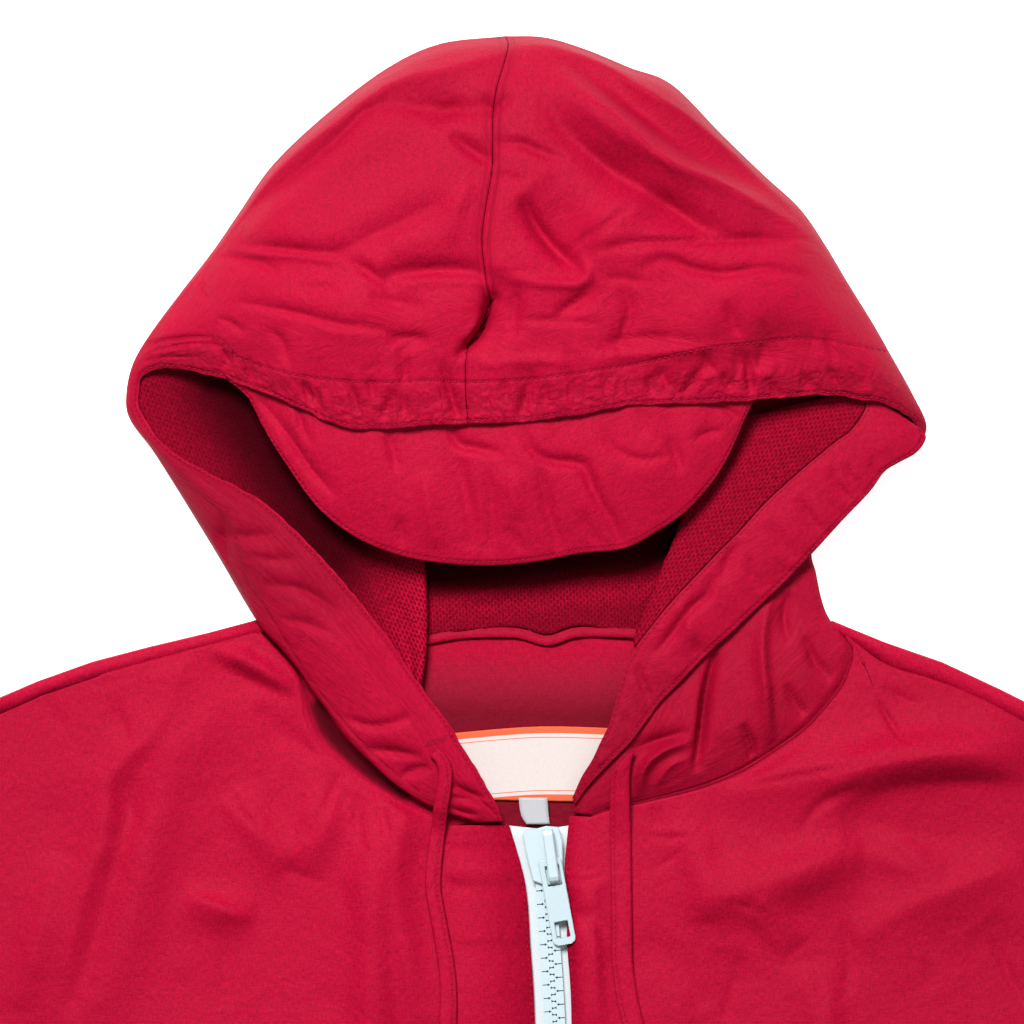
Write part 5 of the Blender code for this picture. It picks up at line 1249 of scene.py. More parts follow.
def back_body(look):
    """The back, flat below, turned over at each shoulder down to the seam."""
    radius = FRONT_HEIGHT / 2
    necks = []
    for side in ("left", "right"):
        _, values, lies_under = hood_rows(side)
        line = values[lies_under, 6:8] - (0, SEAM + 0.1)
        line[-2:, 1] -= (1, 3.6)
        necks.append(line[::-3][::-1])
    neck = np.vstack([necks[0][::-1], necks[1][1:]])
    folds, seams, ups = {}, {}, {}
    for side in ("left", "right"):
        further = 0.45 if side == "left" else 0.0
        line, seam = (evenly([p[0] - further * (p[1] - p[0]), *p], 6)
                      for p in (np.array(row, float) for row in SHOULDERS[side]))
        if side == "left":
            line, seam = line[::-1], seam[::-1]
        folds[side], seams[side], ups[side] = line, seam, normals_of(line)
    top = np.vstack([
        folds["left"] - ups["left"] * radius, neck, folds["right"] - ups["right"] * radius
    ])
    length = along_line(top)
    across = length / length[-1]
    down = np.concatenate([np.linspace(0, 0.42, 10), np.linspace(0.42, 1, 5)[1:]])
    flat = panel_net(top, side_line("left", 120), side_line("right", 120), across, down)
    flat = with_heights(flat, 0.0)
    over = np.zeros((5, len(top), 3))
    for side, columns in (("left", slice(0, 6)), ("right", slice(len(top) - 6, len(top)))):
        for i, angle in enumerate((0.25, 0.5, 0.75, 1.0)):
            turn = angle * math.pi
            over[i, columns, :2] = folds[side] - ups[side] * radius * (1 - math.sin(turn))
            over[i, columns, 2] = radius * (1 - math.cos(turn))
        over[4, columns, :2] = seams[side] - ups[side] * 0.7
        from_tip = np.hypot(*(seams[side] - seams[side][0 if side == "left" else -1]).T)
        sunk = (FRONT_HEIGHT - SIDE_HEIGHT) * (1 - ease(from_tip / 45))
        over[4, columns, 2] = FRONT_HEIGHT - (0.1 if side == "left" else 0.5) - sunk
    net = np.concatenate([over[::-1], flat], 0)
    keep = np.ones((net.shape[0] - 1, net.shape[1] - 1), bool)
    keep[:5, 5:len(top) - 6] = False
    # Painted shade: the flat back, which shows inside the neck under the hood, is darkened; the parts turned
    # over the shoulders are not.
    shaded = np.where(np.arange(len(net)) > 5, 0.75, 0.0)[:, None]
    cloth("back_body_cloth", net, look, keep, wall=WALL, uv=(net[..., 0], net[..., 1]), deep=shaded,
          rests_on=())
    return net


START_RADIUS = 2.2  # of the sleeve's turned sides at the armhole
SLEEVE_TOP = 48  # stations over a sleeve's top


def sleeve(side, look):
    """A tube lying flat: rings from the armhole to the open cuff."""
    out = OUTWARD[side]
    tip = np.array(SHOULDERS[side][0][-1], float) + (out * 1, 0)
    arm = np.array(UNDERARMS[side], float) + (out * 3.5, 2)
    angle = math.radians(SLEEVE_ANGLE)
    along = np.array([out * math.cos(angle), -math.sin(angle)])
    inward = np.array([-out * math.sin(angle), -math.cos(angle)])
    end = tip + along * SLEEVE_LENGTH
    end[0] = out * REACH_X
    cuff = end + inward * CUFF_WIDTH
    upper = [tip, tip + (out * 62, -43), tip + along * 230 + (out * 24, 10)]
    upper += [tip + along * 400 + (out * 24, 6), end]
    lower = [arm, arm + (out * 36, -54), arm + (cuff - arm) * 0.55 + (out * 3, 4), cuff]
    shares = np.linspace(0, 1, 15) ** 1.1
    shares = spline(shares[:, None], np.linspace(0, 14, 120))[:, 0]
    upper, lower = evenly(upper, shares), evenly(lower, shares)
    wide = plan_gap(upper, lower)
    radius = START_RADIUS + (SLEEVE_HEIGHT / 2 - START_RADIUS) * ease(shares / 0.16)[:, None]
    over = np.linspace(0, 1, SLEEVE_TOP)[None, :]
    round_share = radius / wide
    low_share = round_share * (1 + 2 * (1 - shares / 0.25).clip(0, 1)[:, None])
    top_across = round_share + (1 - round_share - low_share) * over
    under_across = round_share + (1 - round_share - low_share) * np.linspace(1, 0, 6)[None, :]
    bulge = 0.8 * np.sin(np.pi * over) * np.sin(np.pi * np.clip(shares, 0.02, 0.98))[:, None]
    turns = np.radians([22, 45, 68])
    side_b = [1 - low_share * (1 - math.sin(turn)) for turn in turns]
    side_b += [np.ones_like(low_share), *side_b[::-1]]
    side_z = [radius * (1 + math.cos(turn)) for turn in turns]
    side_z += [radius, *(radius * (1 - math.cos(turn)) for turn in turns[::-1])]
    side_a = [round_share * (1 - b) / low_share for b in side_b][::-1]
    across = np.concatenate([top_across, *side_b, under_across, *side_a], 1)
    height = np.concatenate([2 * radius + bulge, *side_z, 0 * under_across, *side_z[::-1]], 1)
    plan = between(upper, lower, across)
    hole = side_line(side, np.linspace(0, 1, 200))
    hole = hole[: int(np.argmin(np.abs(hole[:, 1] - arm[1]))) + 1]
    seam = evenly([SHOULDERS[side][0][-1], *hole[::12]], across[0])
    seam[:, 0] += out * ARMHOLE_GAP
    fade = (1 - shares / 0.3).clip(0, 1)[:, None, None] ** 1.5
    plan += fade * (seam - plan[0])[None]
    net = with_heights(plan, height)
    far = along_line(upper)
    flat_x = np.repeat(far[:, None], net.shape[1], 1)
    flat_y = -across * wide
    folds = []
    for path, high, width in SLEEVE_FOLDS[side]:
        places = [(a * far[-1], -b * np.interp(a * far[-1], far, wide[:, 0])) for a, b in path]
        folds.append((places, high, width, width))
    inside = ease(np.minimum(over, 1 - over) / 0.12)
    fade = ease(shares / 0.1)[:, None] * ease((1 - shares) / 0.08)[:, None] * inside
    net[:, :SLEEVE_TOP, 2] += np.maximum(fold_height(flat_x, flat_y, folds)[:, :SLEEVE_TOP], -1.2) * fade
    within = net[:1] * (1, 1, 0.16) - (out * 2.5, 0, -1.3)
    net = np.concatenate([within, net])
    flat_x, flat_y = (np.concatenate([flat[:1], flat]) for flat in (flat_x, flat_y))
    # The painted shade of the front's end beside it.
    cloth(f"sleeve_{side}_cloth", net, look, flip=side == "left", closed=True, uv=(flat_x, flat_y),
          deep=FRONT_SHADE[0 if side == "left" else -1][1])
    return net


# Trims.


def flat_strip(name, first, second, count, wide, height, wall, look, slot, flip=False):
    """A level strip between two plan curves."""
    plan = between(evenly(first, count), evenly(second, count), np.linspace(0, 1, wide)[None, :])
    cloth(f"{name}_cloth", with_heights(plan, height), look, wall=wall, flip=flip)


def chain_centre(shares):
    line = [(-2.2, CHAIN_TOP), (-1.1, -33), (0, -48), (1.9, -78), (2.6, -110), (3, SLIT_END + 6)]
    return evenly(line, shares)


def zip_tapes(look):
    """Each tape runs from under the front's edge to beneath the chain."""
    centre = chain_centre(60)
    centre[0, 1] = -4.6
    centre[:, 1] = np.linspace(-4.6, SLIT_END + 3, 60)
    for column, (side, out) in enumerate(OUTWARD.items()):
        edge = evenly([(row[column] + out * 3, row[2] - 0.4) for row in ZIP_EDGES], 60)
        edge[0, 0] -= out * 3
        edge[:, 1] = np.linspace(-3.2, SLIT_END + 3, 60)
        middle = centre + (out * SEAM / 2, 0)
        flat_strip(f"zip_tape_{side}", edge, middle, 60, 8, CLEAR, 0.8, look, "zip_tape", side == "left")


def drawstrings(look, ground):
    """Flat ties laid on whatever lies under them."""
    ties = {}
    for side, table in DRAWSTRINGS.items():
        line = spline(table, np.linspace(0, len(table) - 1, 160))
        left = normals_of(line)
        under = np.linspace(-0.6, 0.6, 7)[None, :, None]
        top = np.zeros(len(line))
        for i, row in enumerate(line[:, None, :2] + left[:, None] * line[:, None, 2:3] * under):
            for x, y, _ in placed(with_heights(row, 0.0)):
                met = ground.hit(x, y)
                if met:
                    top[i] = max(top[i], met[0].z / MM)
        spread = 5
        wide = np.array([top[max(0, i - spread):i + spread + 1].max() for i in range(len(top))])
        kernel = np.ones(2 * spread + 1) / (2 * spread + 1)
        wide = np.convolve(np.pad(wide, spread, "edge"), kernel, "valid")
        share = np.linspace(-0.5, 0.5, 9)
        plan = line[:, None, :2] + left[:, None] * line[:, None, 2:3] * share[None, :, None]
        if side == "right":
            along = run(plan[:, 4:5], 0)
            plan[..., 1] += (plan[..., 0] - line[:, 0:1] - 2.5) * 1.05 * fade_out(along, 26)
        z = (wide + SEAM + 1.0)[:, None] + 0.5 * (1 - (2 * share[None, :]) ** 4)
        z += 0.25 * np.sin(line[:, 1:2] / 9 + 3 * share[None, :])
        net = with_heights(plan, z)
        shown, half = share[None, :] * line[:, 2:3], line[:, 2:3] / 2
        sewn = shown - half + 1.5 if side == "left" else -(shown + half - 1.5)
        sewn = sewn_field(net.shape[:2], sewn, run(net, 0)[:, :1], 0.12)
        obj = cloth(f"drawstring_{side}_tie", net, look, wall=0.9, flip=True, replaces=f"drawstring_{side}",
                    sewn=sewn, rests_on=None)
        path = placed(with_heights(line[:, :2], wide + SEAM + 0.5))
        ties[side] = net
    return ties


# Repeated details, made by Geometry Nodes.


def new_group(name, takes, gives, kind="ShaderNodeTree"):
    """An empty node group with those inputs, as (name, kind, value), and outputs, as (name, kind)."""
    made = bpy.data.node_groups.new(name, kind)
    for label, socket_kind, value in takes:
        socket = made.interface.new_socket(label, in_out="INPUT", socket_type=f"NodeSocket{socket_kind}")
        if value is not None:
            socket.default_value = value
    for label, socket_kind in gives:
        made.interface.new_socket(label, in_out="OUTPUT", socket_type=f"NodeSocket{socket_kind}")
    return made, made.nodes.new("NodeGroupInput").outputs, made.nodes.new("NodeGroupOutput").inputs


def repeat_tree(name, takes):
    """A tree that puts one small shape on every point of a mesh, turned by the point's own "up" and
    "along". Returns it with its group input's outputs and a function that completes it."""
    takes = [("Geometry", "Geometry", None), *takes]
    tree, given, wanted = new_group(name, takes, [("Geometry", "Geometry")], "GeometryNodeTree")
    vectors = []
    for label in ("up", "along"):
        read = node(tree, "GeometryNodeInputNamedAttribute", {"Name": label}, data_type="FLOAT_VECTOR")
        vectors.append(read.outputs["Attribute"])
    axes = {"Primary Axis": vectors[0], "Secondary Axis": vectors[1]}
    turn = node(tree, "FunctionNodeAxesToRotation", axes, primary_axis="Z", secondary_axis="X").outputs[0]

    def step(kind, takes):
        return node(tree, f"GeometryNode{kind}", takes).outputs[0]

    def complete(shape, material, smooth):
        takes = {"Points": given["Geometry"], "Instance": shape, "Rotation": turn}
        real = step("RealizeInstances", {"Geometry": step("InstanceOnPoints", takes)})
        real = step("SetShadeSmooth", {"Geometry": real, "Shade Smooth": smooth})
        tree.links.new(step("SetMaterial", {"Geometry": real, "Material": material}), wanted[0])

    return tree, given, complete


def stitch_tree():
    takes = [("Stitch Length", "Float", 1.8 * MM), ("Stitch Width", "Float", 0.5 * MM),
             ("Thread", "Material", None)]
    tree, given, complete = repeat_tree("Sewn stitches", takes)
    ball = node(tree, "GeometryNodeMeshIcoSphere", {"Radius": 0.5, "Subdivisions": 1}).outputs[0]
    size = dict(enumerate(given[name] for name in ("Stitch Length", "Stitch Width", "Stitch Width")))
    size = node(tree, "ShaderNodeCombineXYZ", size).outputs[0]
    ball = node(tree, "GeometryNodeTransform", {"Geometry": ball, "Scale": size}).outputs[0]
    complete(ball, given["Thread"], True)
    return tree


def tooth_tree():
    """A moulded tooth: blocks of its own lengths side by side, so that a small hole is left between
    each tooth and the next, and a round head past the middle."""
    takes = [("Tooth Pitch", "Float", TOOTH_PITCH * MM), ("Tooth Height", "Float", 0.0018),
             ("Plastic", "Material", None)]
    tree, given, complete = repeat_tree("Moulded teeth", takes)
    blocks = node(tree, "GeometryNodeJoinGeometry", {})

    def add(shape, x):
        takes = {"Geometry": shape, "Translation": (x * MM, 0, 0)}
        tree.links.new(node(tree, "GeometryNodeTransform", takes).outputs[0], blocks.inputs[0])

    for x, wide, share in ((2.95, 1.9, 0.93), (1.75, 0.5, 0.83), (1.2, 0.6, 0.95)):
        long = calc(tree, "MULTIPLY", given["Tooth Pitch"], share)
        size = {0: wide * MM, 1: long, 2: given["Tooth Height"]}
        size = node(tree, "ShaderNodeCombineXYZ", size).outputs[0]
        cube = node(tree, "GeometryNodeMeshCube", {"Size": size}).outputs[0]
        add(cube, x)
    low = calc(tree, "MULTIPLY", given["Tooth Height"], 0.96)
    head = node(tree, "GeometryNodeMeshCylinder", {"Vertices": 12, "Radius": 1.15 * MM, "Depth": low})
    add(head.outputs[0], 0.1)
    complete(blocks.outputs[0], given["Plastic"], False)
    return tree


def repeated(name, places, up, along, tree, values, replaces=()):
    """Runs a repeat over places in metres and keeps its mesh as a piece on the garment."""
    mesh = bpy.data.meshes.new(name)
    mesh.from_pydata(np.asarray(places).tolist(), [], [])
    add_values(mesh, "up", up)
    add_values(mesh, "along", along)
    obj = linked(name, mesh)
    modifier = obj.modifiers.new("repeat", "NODES")
    modifier.node_group = tree
    for item in tree.interface.items_tree:
        if item.in_out == "INPUT" and item.name in values:
            modifier[item.identifier] = values[item.name]
    bpy.context.view_layer.update()
    made = bpy.data.meshes.new_from_object(obj.evaluated_get(bpy.context.evaluated_depsgraph_get()))
    obj.modifiers.clear()
    obj.data = made
    bpy.data.meshes.remove(mesh)
    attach(obj, "garment")
    if replaces:
        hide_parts(*replaces)
    return obj


class Ground:
    """Surfaces to lay things on, hit from above or, turned over, from below."""

    def __init__(self, *nets):
        self.trees = [BVHTree.FromPolygons(placed(net).tolist(), grid_faces(*net.shape[:2]).tolist())
                      for net in nets]

    def hit(self, x, y, below=False):
        """The place and normal first met at a plan place in the frame's metres."""
        start, way = Vector((x, y, -0.2 if below else 0.2)), Vector((0, 0, 1 if below else -1))
        best = None
        for tree in self.trees:
            place, normal, _, _ = tree.ray_cast(start, way)
            if place and (best is None or (place - start).length < (best[0] - start).length):
                best = place, normal if normal.dot(way) < 0 else -normal
        return best


STITCH_LIFT = 0.00008  # of a stitch's middle above the cloth, in metres


def stitch_row(line, ground, pitch=2.4, below=False):
    """Stitches along a plan line in millimetres, each with its place, its normal and its direction."""
    line = np.asarray(line, float)[:, :2]
    even = evenly(line, max(3, int(spans(line).sum() / pitch)))
    ahead = np.gradient(even, axis=0)
    rows = []
    for (x, y), (dx, dy) in zip(placed(with_heights(even, 0.0))[:, :2], ahead):
        met = ground.hit(x, y, below)
        if met:
            along = Vector((dx, dy, 0)).normalized()
            along = (along - met[1] * along.dot(met[1])).normalized()
            rows.append((met[0] + met[1] * STITCH_LIFT, met[1], along))
    return rows


def sew(name, rows, tree, thread, length=1.9, width=0.5):
    places, up, along = (np.array([list(row[k]) for row in rows]) for k in range(3))
    values = {"Stitch Length": length * MM, "Stitch Width": width * MM, "Thread": thread}
    return repeated(name, places, up, along, tree, values)


def zip_teeth(tree, look, chain_shade_look):
    """The chain: teeth in turn from either side, over a narrow dark strip of painted shade that shows in the
    gaps between them.
    """
    low, high = (corner[2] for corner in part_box("zip_chain"))
    line = chain_centre(400)
    along = along_line(line)
    at = np.arange(2.0, along[-1] - 3, TOOTH_PITCH / 2)
    plan = np.stack([np.interp(at, along, line[:, k]) for k in (0, 1)], 1)
    out = normals_of(plan) * np.where(np.arange(len(at)) % 2, 1, -1)[:, None]
    places = placed(with_heights(plan, 0.0))
    places[:, 2] = (low + high) / 2
    up = with_heights(0 * plan, 1.0)
    values = {"Tooth Pitch": TOOTH_PITCH * MM, "Tooth Height": high - low, "Plastic": look}
    repeated("zip_chain_teeth", places, up, with_heights(out, 0.0), tree, values,
             ["zip_chain"])
    # A dark strip under the teeth: painted shade for the gaps between them.
    side = normals_of(line)[:, None] * np.array([2.3, -2.3])[None, :, None]
    net = with_heights(line[:, None] + side, low / MM + 0.15)[::4]
    faces = grid_faces(*net.shape[:2], flip=True).tolist()
    shade_sheet = mesh_piece("zip_chain_painted_shade", placed(net), faces, chain_shade_look)
    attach(shade_sheet, "garment")


# Finishes.


def node(tree, kind, takes, **settings):
    """A node with its settings and, by name or number, its inputs: a value or another node's output."""
    made = tree.nodes.new(kind)
    for key, value in settings.items():
        setattr(made, key, value)
    for key, value in takes.items():
        if isinstance(value, bpy.types.NodeSocket):
            tree.links.new(value, made.inputs[key])
        else:
            made.inputs[key].default_value = value
    return made


def calc(tree, operation, *values):
    return node(tree, "ShaderNodeMath", dict(enumerate(values)), operation=operation).outputs[0]


def scaled(tree, vector, value):
    return node(tree, "ShaderNodeVectorMath", {0: vector, 1: value}, operation="MULTIPLY").outputs[0]


def parts_of(tree, vector):
    """A vector's three numbers."""
    return node(tree, "ShaderNodeSeparateXYZ", {0: vector}).outputs


def ranged(tree, value, low, high):
    """From 0 to 1 between two values."""
    return node(tree, "ShaderNodeMapRange", {"Value": value, "From Min": low, "From Max": high}).outputs[0]


def attribute(tree, name, output):
    return node(tree, "ShaderNodeAttribute", {}, attribute_name=name).outputs[output]


def threads_of(tree):
    return node(tree, "ShaderNodeUVMap", {}, uv_map="threads").outputs[0]


def noise(tree, vector, scale, detail=2.0, rough=0.5):
    takes = {"Vector": vector, "Scale": scale, "Detail": detail, "Roughness": rough}
    return node(tree, "ShaderNodeTexNoise", takes).outputs[0]


def weave_group():
    """Plain woven cloth: how light its threads are, and how high."""
    takes = [("Vector", "Vector", (0, 0, 0)), ("Pitch", "Float", 0.0005)]
    tree, given, wanted = new_group("Weave", takes, [("Tone", "Float"), ("Height", "Float")])
    threads = node(tree, "ShaderNodeVectorMath", {0: given["Vector"], "Scale": 1.0}, operation="SCALE")
    tree.links.new(calc(tree, "DIVIDE", 1.0, given["Pitch"]), threads.inputs["Scale"])
    threads = threads.outputs[0]
    warp = noise(tree, scaled(tree, threads, (0.9, 0.2, 0)), 1.0, 1.0)
    weft = noise(tree, scaled(tree, threads, (0.2, 0.9, 0)), 1.0, 1.0)
    grain = noise(tree, threads, 0.7, 2.0, 0.6)
    both = calc(tree, "MULTIPLY_ADD", calc(tree, "ADD", warp, weft), 0.3, calc(tree, "MULTIPLY", grain, 0.4))
    tree.links.new(both, wanted["Tone"])
    split = parts_of(tree, threads)
    ribs = [calc(tree, "SINE", calc(tree, "MULTIPLY", split[axis], math.tau)) for axis in (0, 1)]
    high = calc(tree, "MULTIPLY_ADD", calc(tree, "MULTIPLY", *ribs), 0.2, both)
    tree.links.new(high, wanted["Height"])
    return tree


def crumple_group():
    """Soft small creases: how high the cloth stands."""
    takes = [("Vector", "Vector", (0, 0, 0)), ("Size", "Float", 0.012)]
    tree, given, wanted = new_group("Crumple", takes, [("Height", "Float")])
    scale = calc(tree, "DIVIDE", 1.0, given["Size"])
    coarse = noise(tree, given["Vector"], scale, 3.0, 0.55)
    ridge = calc(tree, "ABSOLUTE", calc(tree, "SUBTRACT", coarse, 0.5))
    soft = noise(tree, given["Vector"], calc(tree, "MULTIPLY", scale, 0.45), 2.0)
    fine = noise(tree, given["Vector"], calc(tree, "MULTIPLY", scale, 2.3), 2.0, 0.6)
    fine = calc(tree, "ABSOLUTE", calc(tree, "SUBTRACT", fine, 0.5))
    both = calc(tree, "MULTIPLY_ADD", fine, 0.8, calc(tree, "MULTIPLY", ridge, 1.5))
    tree.links.new(calc(tree, "ADD", soft, both), wanted["Height"])
    return tree


def gathers_group():
    """The gathers across a sewn line: how high they stand, from their share of height, and how low, which
    sets the shade painted in their valleys.
    """
    takes = [("Place", "Vector", (0, 0, 0)), ("Pitch", "Float", 7.0)]
    tree, given, wanted = new_group("Gathers", takes, [("Height", "Float"), ("Valley", "Float")])
    split = parts_of(tree, given["Place"])
    away = calc(tree, "MULTIPLY", calc(tree, "ABSOLUTE", split[0]), 0.15)
    along = calc(tree, "DIVIDE", split[1], given["Pitch"])
    place = node(tree, "ShaderNodeCombineXYZ", {0: along, 1: away}).outputs[0]
    ridges = calc(tree, "ABSOLUTE", calc(tree, "SUBTRACT", noise(tree, place, 1.0, 2.0, 0.5), 0.5))
    share = ranged(tree, ridges, 0.0, 0.2)
    tree.links.new(calc(tree, "MULTIPLY", share, split[2]), wanted["Height"])
    low = calc(tree, "POWER", calc(tree, "SUBTRACT", 1.0, share), 3.0)
    tree.links.new(calc(tree, "MULTIPLY", low, split[2]), wanted["Valley"])
    return tree


def sewn_group():
    """The groove that a sewn line pulls in the cloth: how deep, and a mask of the line itself, along which
    the cloth paints shade.
    """
    takes = [("Distance", "Float", 9.0), ("Width", "Float", 0.8)]
    tree, given, wanted = new_group("Sewn line", takes, [("Height", "Float"), ("Line", "Float")])
    share = calc(tree, "DIVIDE", given["Distance"], given["Width"])
    bell = calc(tree, "EXPONENT", calc(tree, "MULTIPLY", calc(tree, "MULTIPLY", share, share), -1.0))
    tree.links.new(calc(tree, "SUBTRACT", 1.0, bell), wanted["Height"])
    tree.links.new(bell, wanted["Line"])
    return tree


def holes_group():
    """A net's holes, oval and staggered: where they are, and how high its threads stand."""
    takes = [("Vector", "Vector", (0, 0, 0)), ("Across", "Float", 0.0025), ("Down", "Float", 0.0023)]
    tree, given, wanted = new_group("Net holes", takes, [("Hole", "Float"), ("Height", "Float")])
    split = parts_of(tree, given["Vector"])
    wander = noise(tree, given["Vector"], 520.0, 2.0)
    column = calc(tree, "DIVIDE", split[0], given["Across"])
    row = calc(tree, "DIVIDE", split[1], given["Down"])
    both = None
    for shift in (0.0, 0.5):
        u = calc(tree, "SUBTRACT", calc(tree, "FRACT", calc(tree, "ADD", column, shift)), 0.5)
        v = calc(tree, "SUBTRACT", calc(tree, "FRACT", calc(tree, "ADD", row, shift)), 0.5)
        far = calc(tree, "ADD", calc(tree, "POWER", calc(tree, "MULTIPLY", u, 5.6), 2.0),
                   calc(tree, "POWER", calc(tree, "MULTIPLY", v, 2.7), 2.0))
        far = calc(tree, "ADD", far, calc(tree, "MULTIPLY", calc(tree, "SUBTRACT", wander, 0.5), 1.7))
        both = far if both is None else calc(tree, "MINIMUM", both, far)
    takes = {"Value": both, "From Min": 0.55, "From Max": 1.0, "To Min": 1.0, "To Max": 0.0}
    hole = node(tree, "ShaderNodeMapRange", takes, interpolation_type="SMOOTHSTEP").outputs[0]
    tree.links.new(hole, wanted["Hole"])
    tree.links.new(calc(tree, "SUBTRACT", 1.0, hole), wanted["Height"])
    return tree


def bands_group():
    """Coloured bands across a label, by how far down it they are."""
    takes = [("Along", "Float", 0.0)]
    tree, given, wanted = new_group("Label bands", takes, [("Band", "Float")])
    total = None
    for start, end in LABEL_BANDS:
        above = calc(tree, "GREATER_THAN", given["Along"], start)
        below = calc(tree, "LESS_THAN", given["Along"], end)
        inside = calc(tree, "MULTIPLY", above, below)
        total = inside if total is None else calc(tree, "MAXIMUM", total, inside)
    tree.links.new(total, wanted["Band"])
    return tree


def plain(name, colour, rough, specular=0.5):
    made = bpy.data.materials.new(name)
    made.use_nodes = True
    shader = made.node_tree.nodes["Principled BSDF"]
    shader.inputs["Base Color"].default_value = (*colour, 1)
    shader.inputs["Roughness"].default_value = rough
    shader.inputs["Specular IOR Level"].default_value = specular
    return made, made.node_tree, shader


def use(tree, group, takes):
    return node(tree, "ShaderNodeGroup", takes, node_tree=group).outputs


def tinted(tree, share, low, high):
    """A colour between two, by a share; each is a colour or another node's output."""
    ends = [end if isinstance(end, bpy.types.NodeSocket) else (*end, 1) for end in (low, high)]
    return node(tree, "ShaderNodeMix", {0: share, 6: ends[0], 7: ends[1]}, data_type="RGBA").outputs[2]


def raised(tree, height, distance, before=None):
    """A surface's turned normals, by a height, on top of those from before."""
    takes = {"Height": height, "Distance": distance, "Strength": 1.0}
    if before is not None:
        takes["Normal"] = before
    return node(tree, "ShaderNodeBump", takes).outputs[0]


def cloth_look(name, low, high, rough, groups, pitch=0.0005, crumple=0.016, depth=0.0006, specular=0.06):
    """Woven cloth between two colours, with its sewn grooves, gathers and soft creases, and painted shade
    that darkens its colour along the sewn lines, in the gathers' valleys and where its piece sets it.
    """
    made, tree, shader = plain(name, high, rough, specular)
    threads = threads_of(tree)
    place = attribute(tree, "sewn", "Vector")
    deep = attribute(tree, "deep", "Fac")
    distance = parts_of(tree, place)[0]
    weave = use(tree, groups["weave"], {"Vector": threads, "Pitch": pitch})
    creases = use(tree, groups["crumple"], {"Vector": threads, "Size": crumple})
    line = use(tree, groups["sewn"], {"Distance": distance, "Width": 0.75})
    gathers = use(tree, groups["gathers"], {"Place": place})
    colour = tinted(tree, ranged(tree, weave["Tone"], 0.36, 0.64), low, high)
    # Painted shade: a little along each sewn line, more in the valleys of the gathers, and the piece's own
    # painted shade, towards a darker copy of the low colour.
    shade = calc(tree, "MULTIPLY_ADD", line["Line"], 0.1, calc(tree, "MULTIPLY", gathers["Valley"], 0.5))
    shade = calc(tree, "MINIMUM", calc(tree, "ADD", shade, deep), 1.0)
    painted_shade_colour = tuple(0.3 * channel for channel in low)
    tree.links.new(tinted(tree, shade, colour, painted_shade_colour), shader.inputs["Base Color"])
    normal = raised(tree, creases["Height"], depth)
    normal = raised(tree, gathers["Height"], 0.001, normal)
    normal = raised(tree, line["Height"], 0.00026, normal)
    normal = raised(tree, weave["Height"], 0.00009, normal)
    tree.links.new(normal, shader.inputs["Normal"])
    return made


def net_look(groups):
    """The open mesh lining: threads with holes between them painted dark, for the shade seen through them,
    and painted shade where its piece sets it.
    """
    made, tree, shader = plain("red mesh", (0.3, 0.003, 0.02), 0.75, 0.02)
    threads = threads_of(tree)
    deep = attribute(tree, "deep", "Fac")
    holes = use(tree, groups["holes"], {"Vector": threads})
    weave = use(tree, groups["weave"], {"Vector": threads, "Pitch": 0.0006})
    creases = use(tree, groups["crumple"], {"Vector": threads, "Size": 0.011})
    share = ranged(tree, weave["Tone"], 0.34, 0.66)
    colour = tinted(tree, share, (0.26, 0.002, 0.018), (0.64, 0.005, 0.042))
    # Painted shade: towards a dark red as far as the piece's painted shade goes.
    colour = tinted(tree, deep, colour, (0.028, 0.0003, 0.002))
    # Holes painted dark, for the shade seen through them; they fade where the painted shade is deep.
    hole = calc(tree, "MULTIPLY", holes["Hole"], calc(tree, "MULTIPLY_ADD", deep, -0.6, 0.7))
    colour = tinted(tree, hole, colour, (0.045, 0.0006, 0.004))
    tree.links.new(colour, shader.inputs["Base Color"])
    normal = raised(tree, creases["Height"], 0.0008)
    normal = raised(tree, holes["Height"], 0.0005, normal)
    tree.links.new(raised(tree, weave["Height"], 0.00025, normal), shader.inputs["Normal"])
    return made


def label_look(groups):
    made, tree, shader = plain("woven label", (0.6, 0.55, 0.52), 0.6, 0.2)
    threads = threads_of(tree)
    bands = use(tree, groups["bands"], {"Along": parts_of(tree, threads)[1]})
    weave = use(tree, groups["weave"], {"Vector": threads, "Pitch": 0.0004})
    ground = tinted(tree, weave["Tone"], (0.50, 0.41, 0.39), (0.66, 0.60, 0.58))
    colour = tinted(tree, bands["Band"], ground, (0.62, 0.10, 0.035))
    tree.links.new(colour, shader.inputs["Base Color"])
    tree.links.new(raised(tree, weave["Height"], 0.0001), shader.inputs["Normal"])
    return made


def fine_look(name, low, high, rough, groups, pitch, specular=0.3):
    """A fine woven band or a smooth surface, between two colours."""
    made, tree, shader = plain(name, high, rough, specular)
    place = node(tree, "ShaderNodeTexCoord", {}).outputs["Object"]
    weave = use(tree, groups["weave"], {"Vector": place, "Pitch": pitch})
    tree.links.new(tinted(tree, weave["Tone"], low, high), shader.inputs["Base Color"])
    tree.links.new(raised(tree, weave["Height"], 0.00006), shader.inputs["Normal"])
    return made


# The setting.


def camera():
    data = bpy.data.cameras.new("camera")
    obj = linked("camera", data)
    distance, level, view_width = 3.5, 0.012, 0.38912  # metres; the view is that wide at that level
    data.lens = data.sensor_width * (distance - level) / view_width
    data.clip_start = 0.1
    data.clip_end = 50
    obj.location = (-0.01444, 0.24003, distance)
    bpy.context.scene.camera = obj


def light(name, place, size, power, look_at=(0, 0.2, 0)):
    data = bpy.data.lights.new(name, "AREA")
    data.shape = "SQUARE"
    data.size = size
    data.energy = power
    obj = linked(name, data)
    obj.location = place
    obj.rotation_euler = (Vector(look_at) - Vector(place)).to_track_quat("-Z", "Y").to_euler()


FLOOR_LEVEL = -0.0004  # just below the garment, in metres


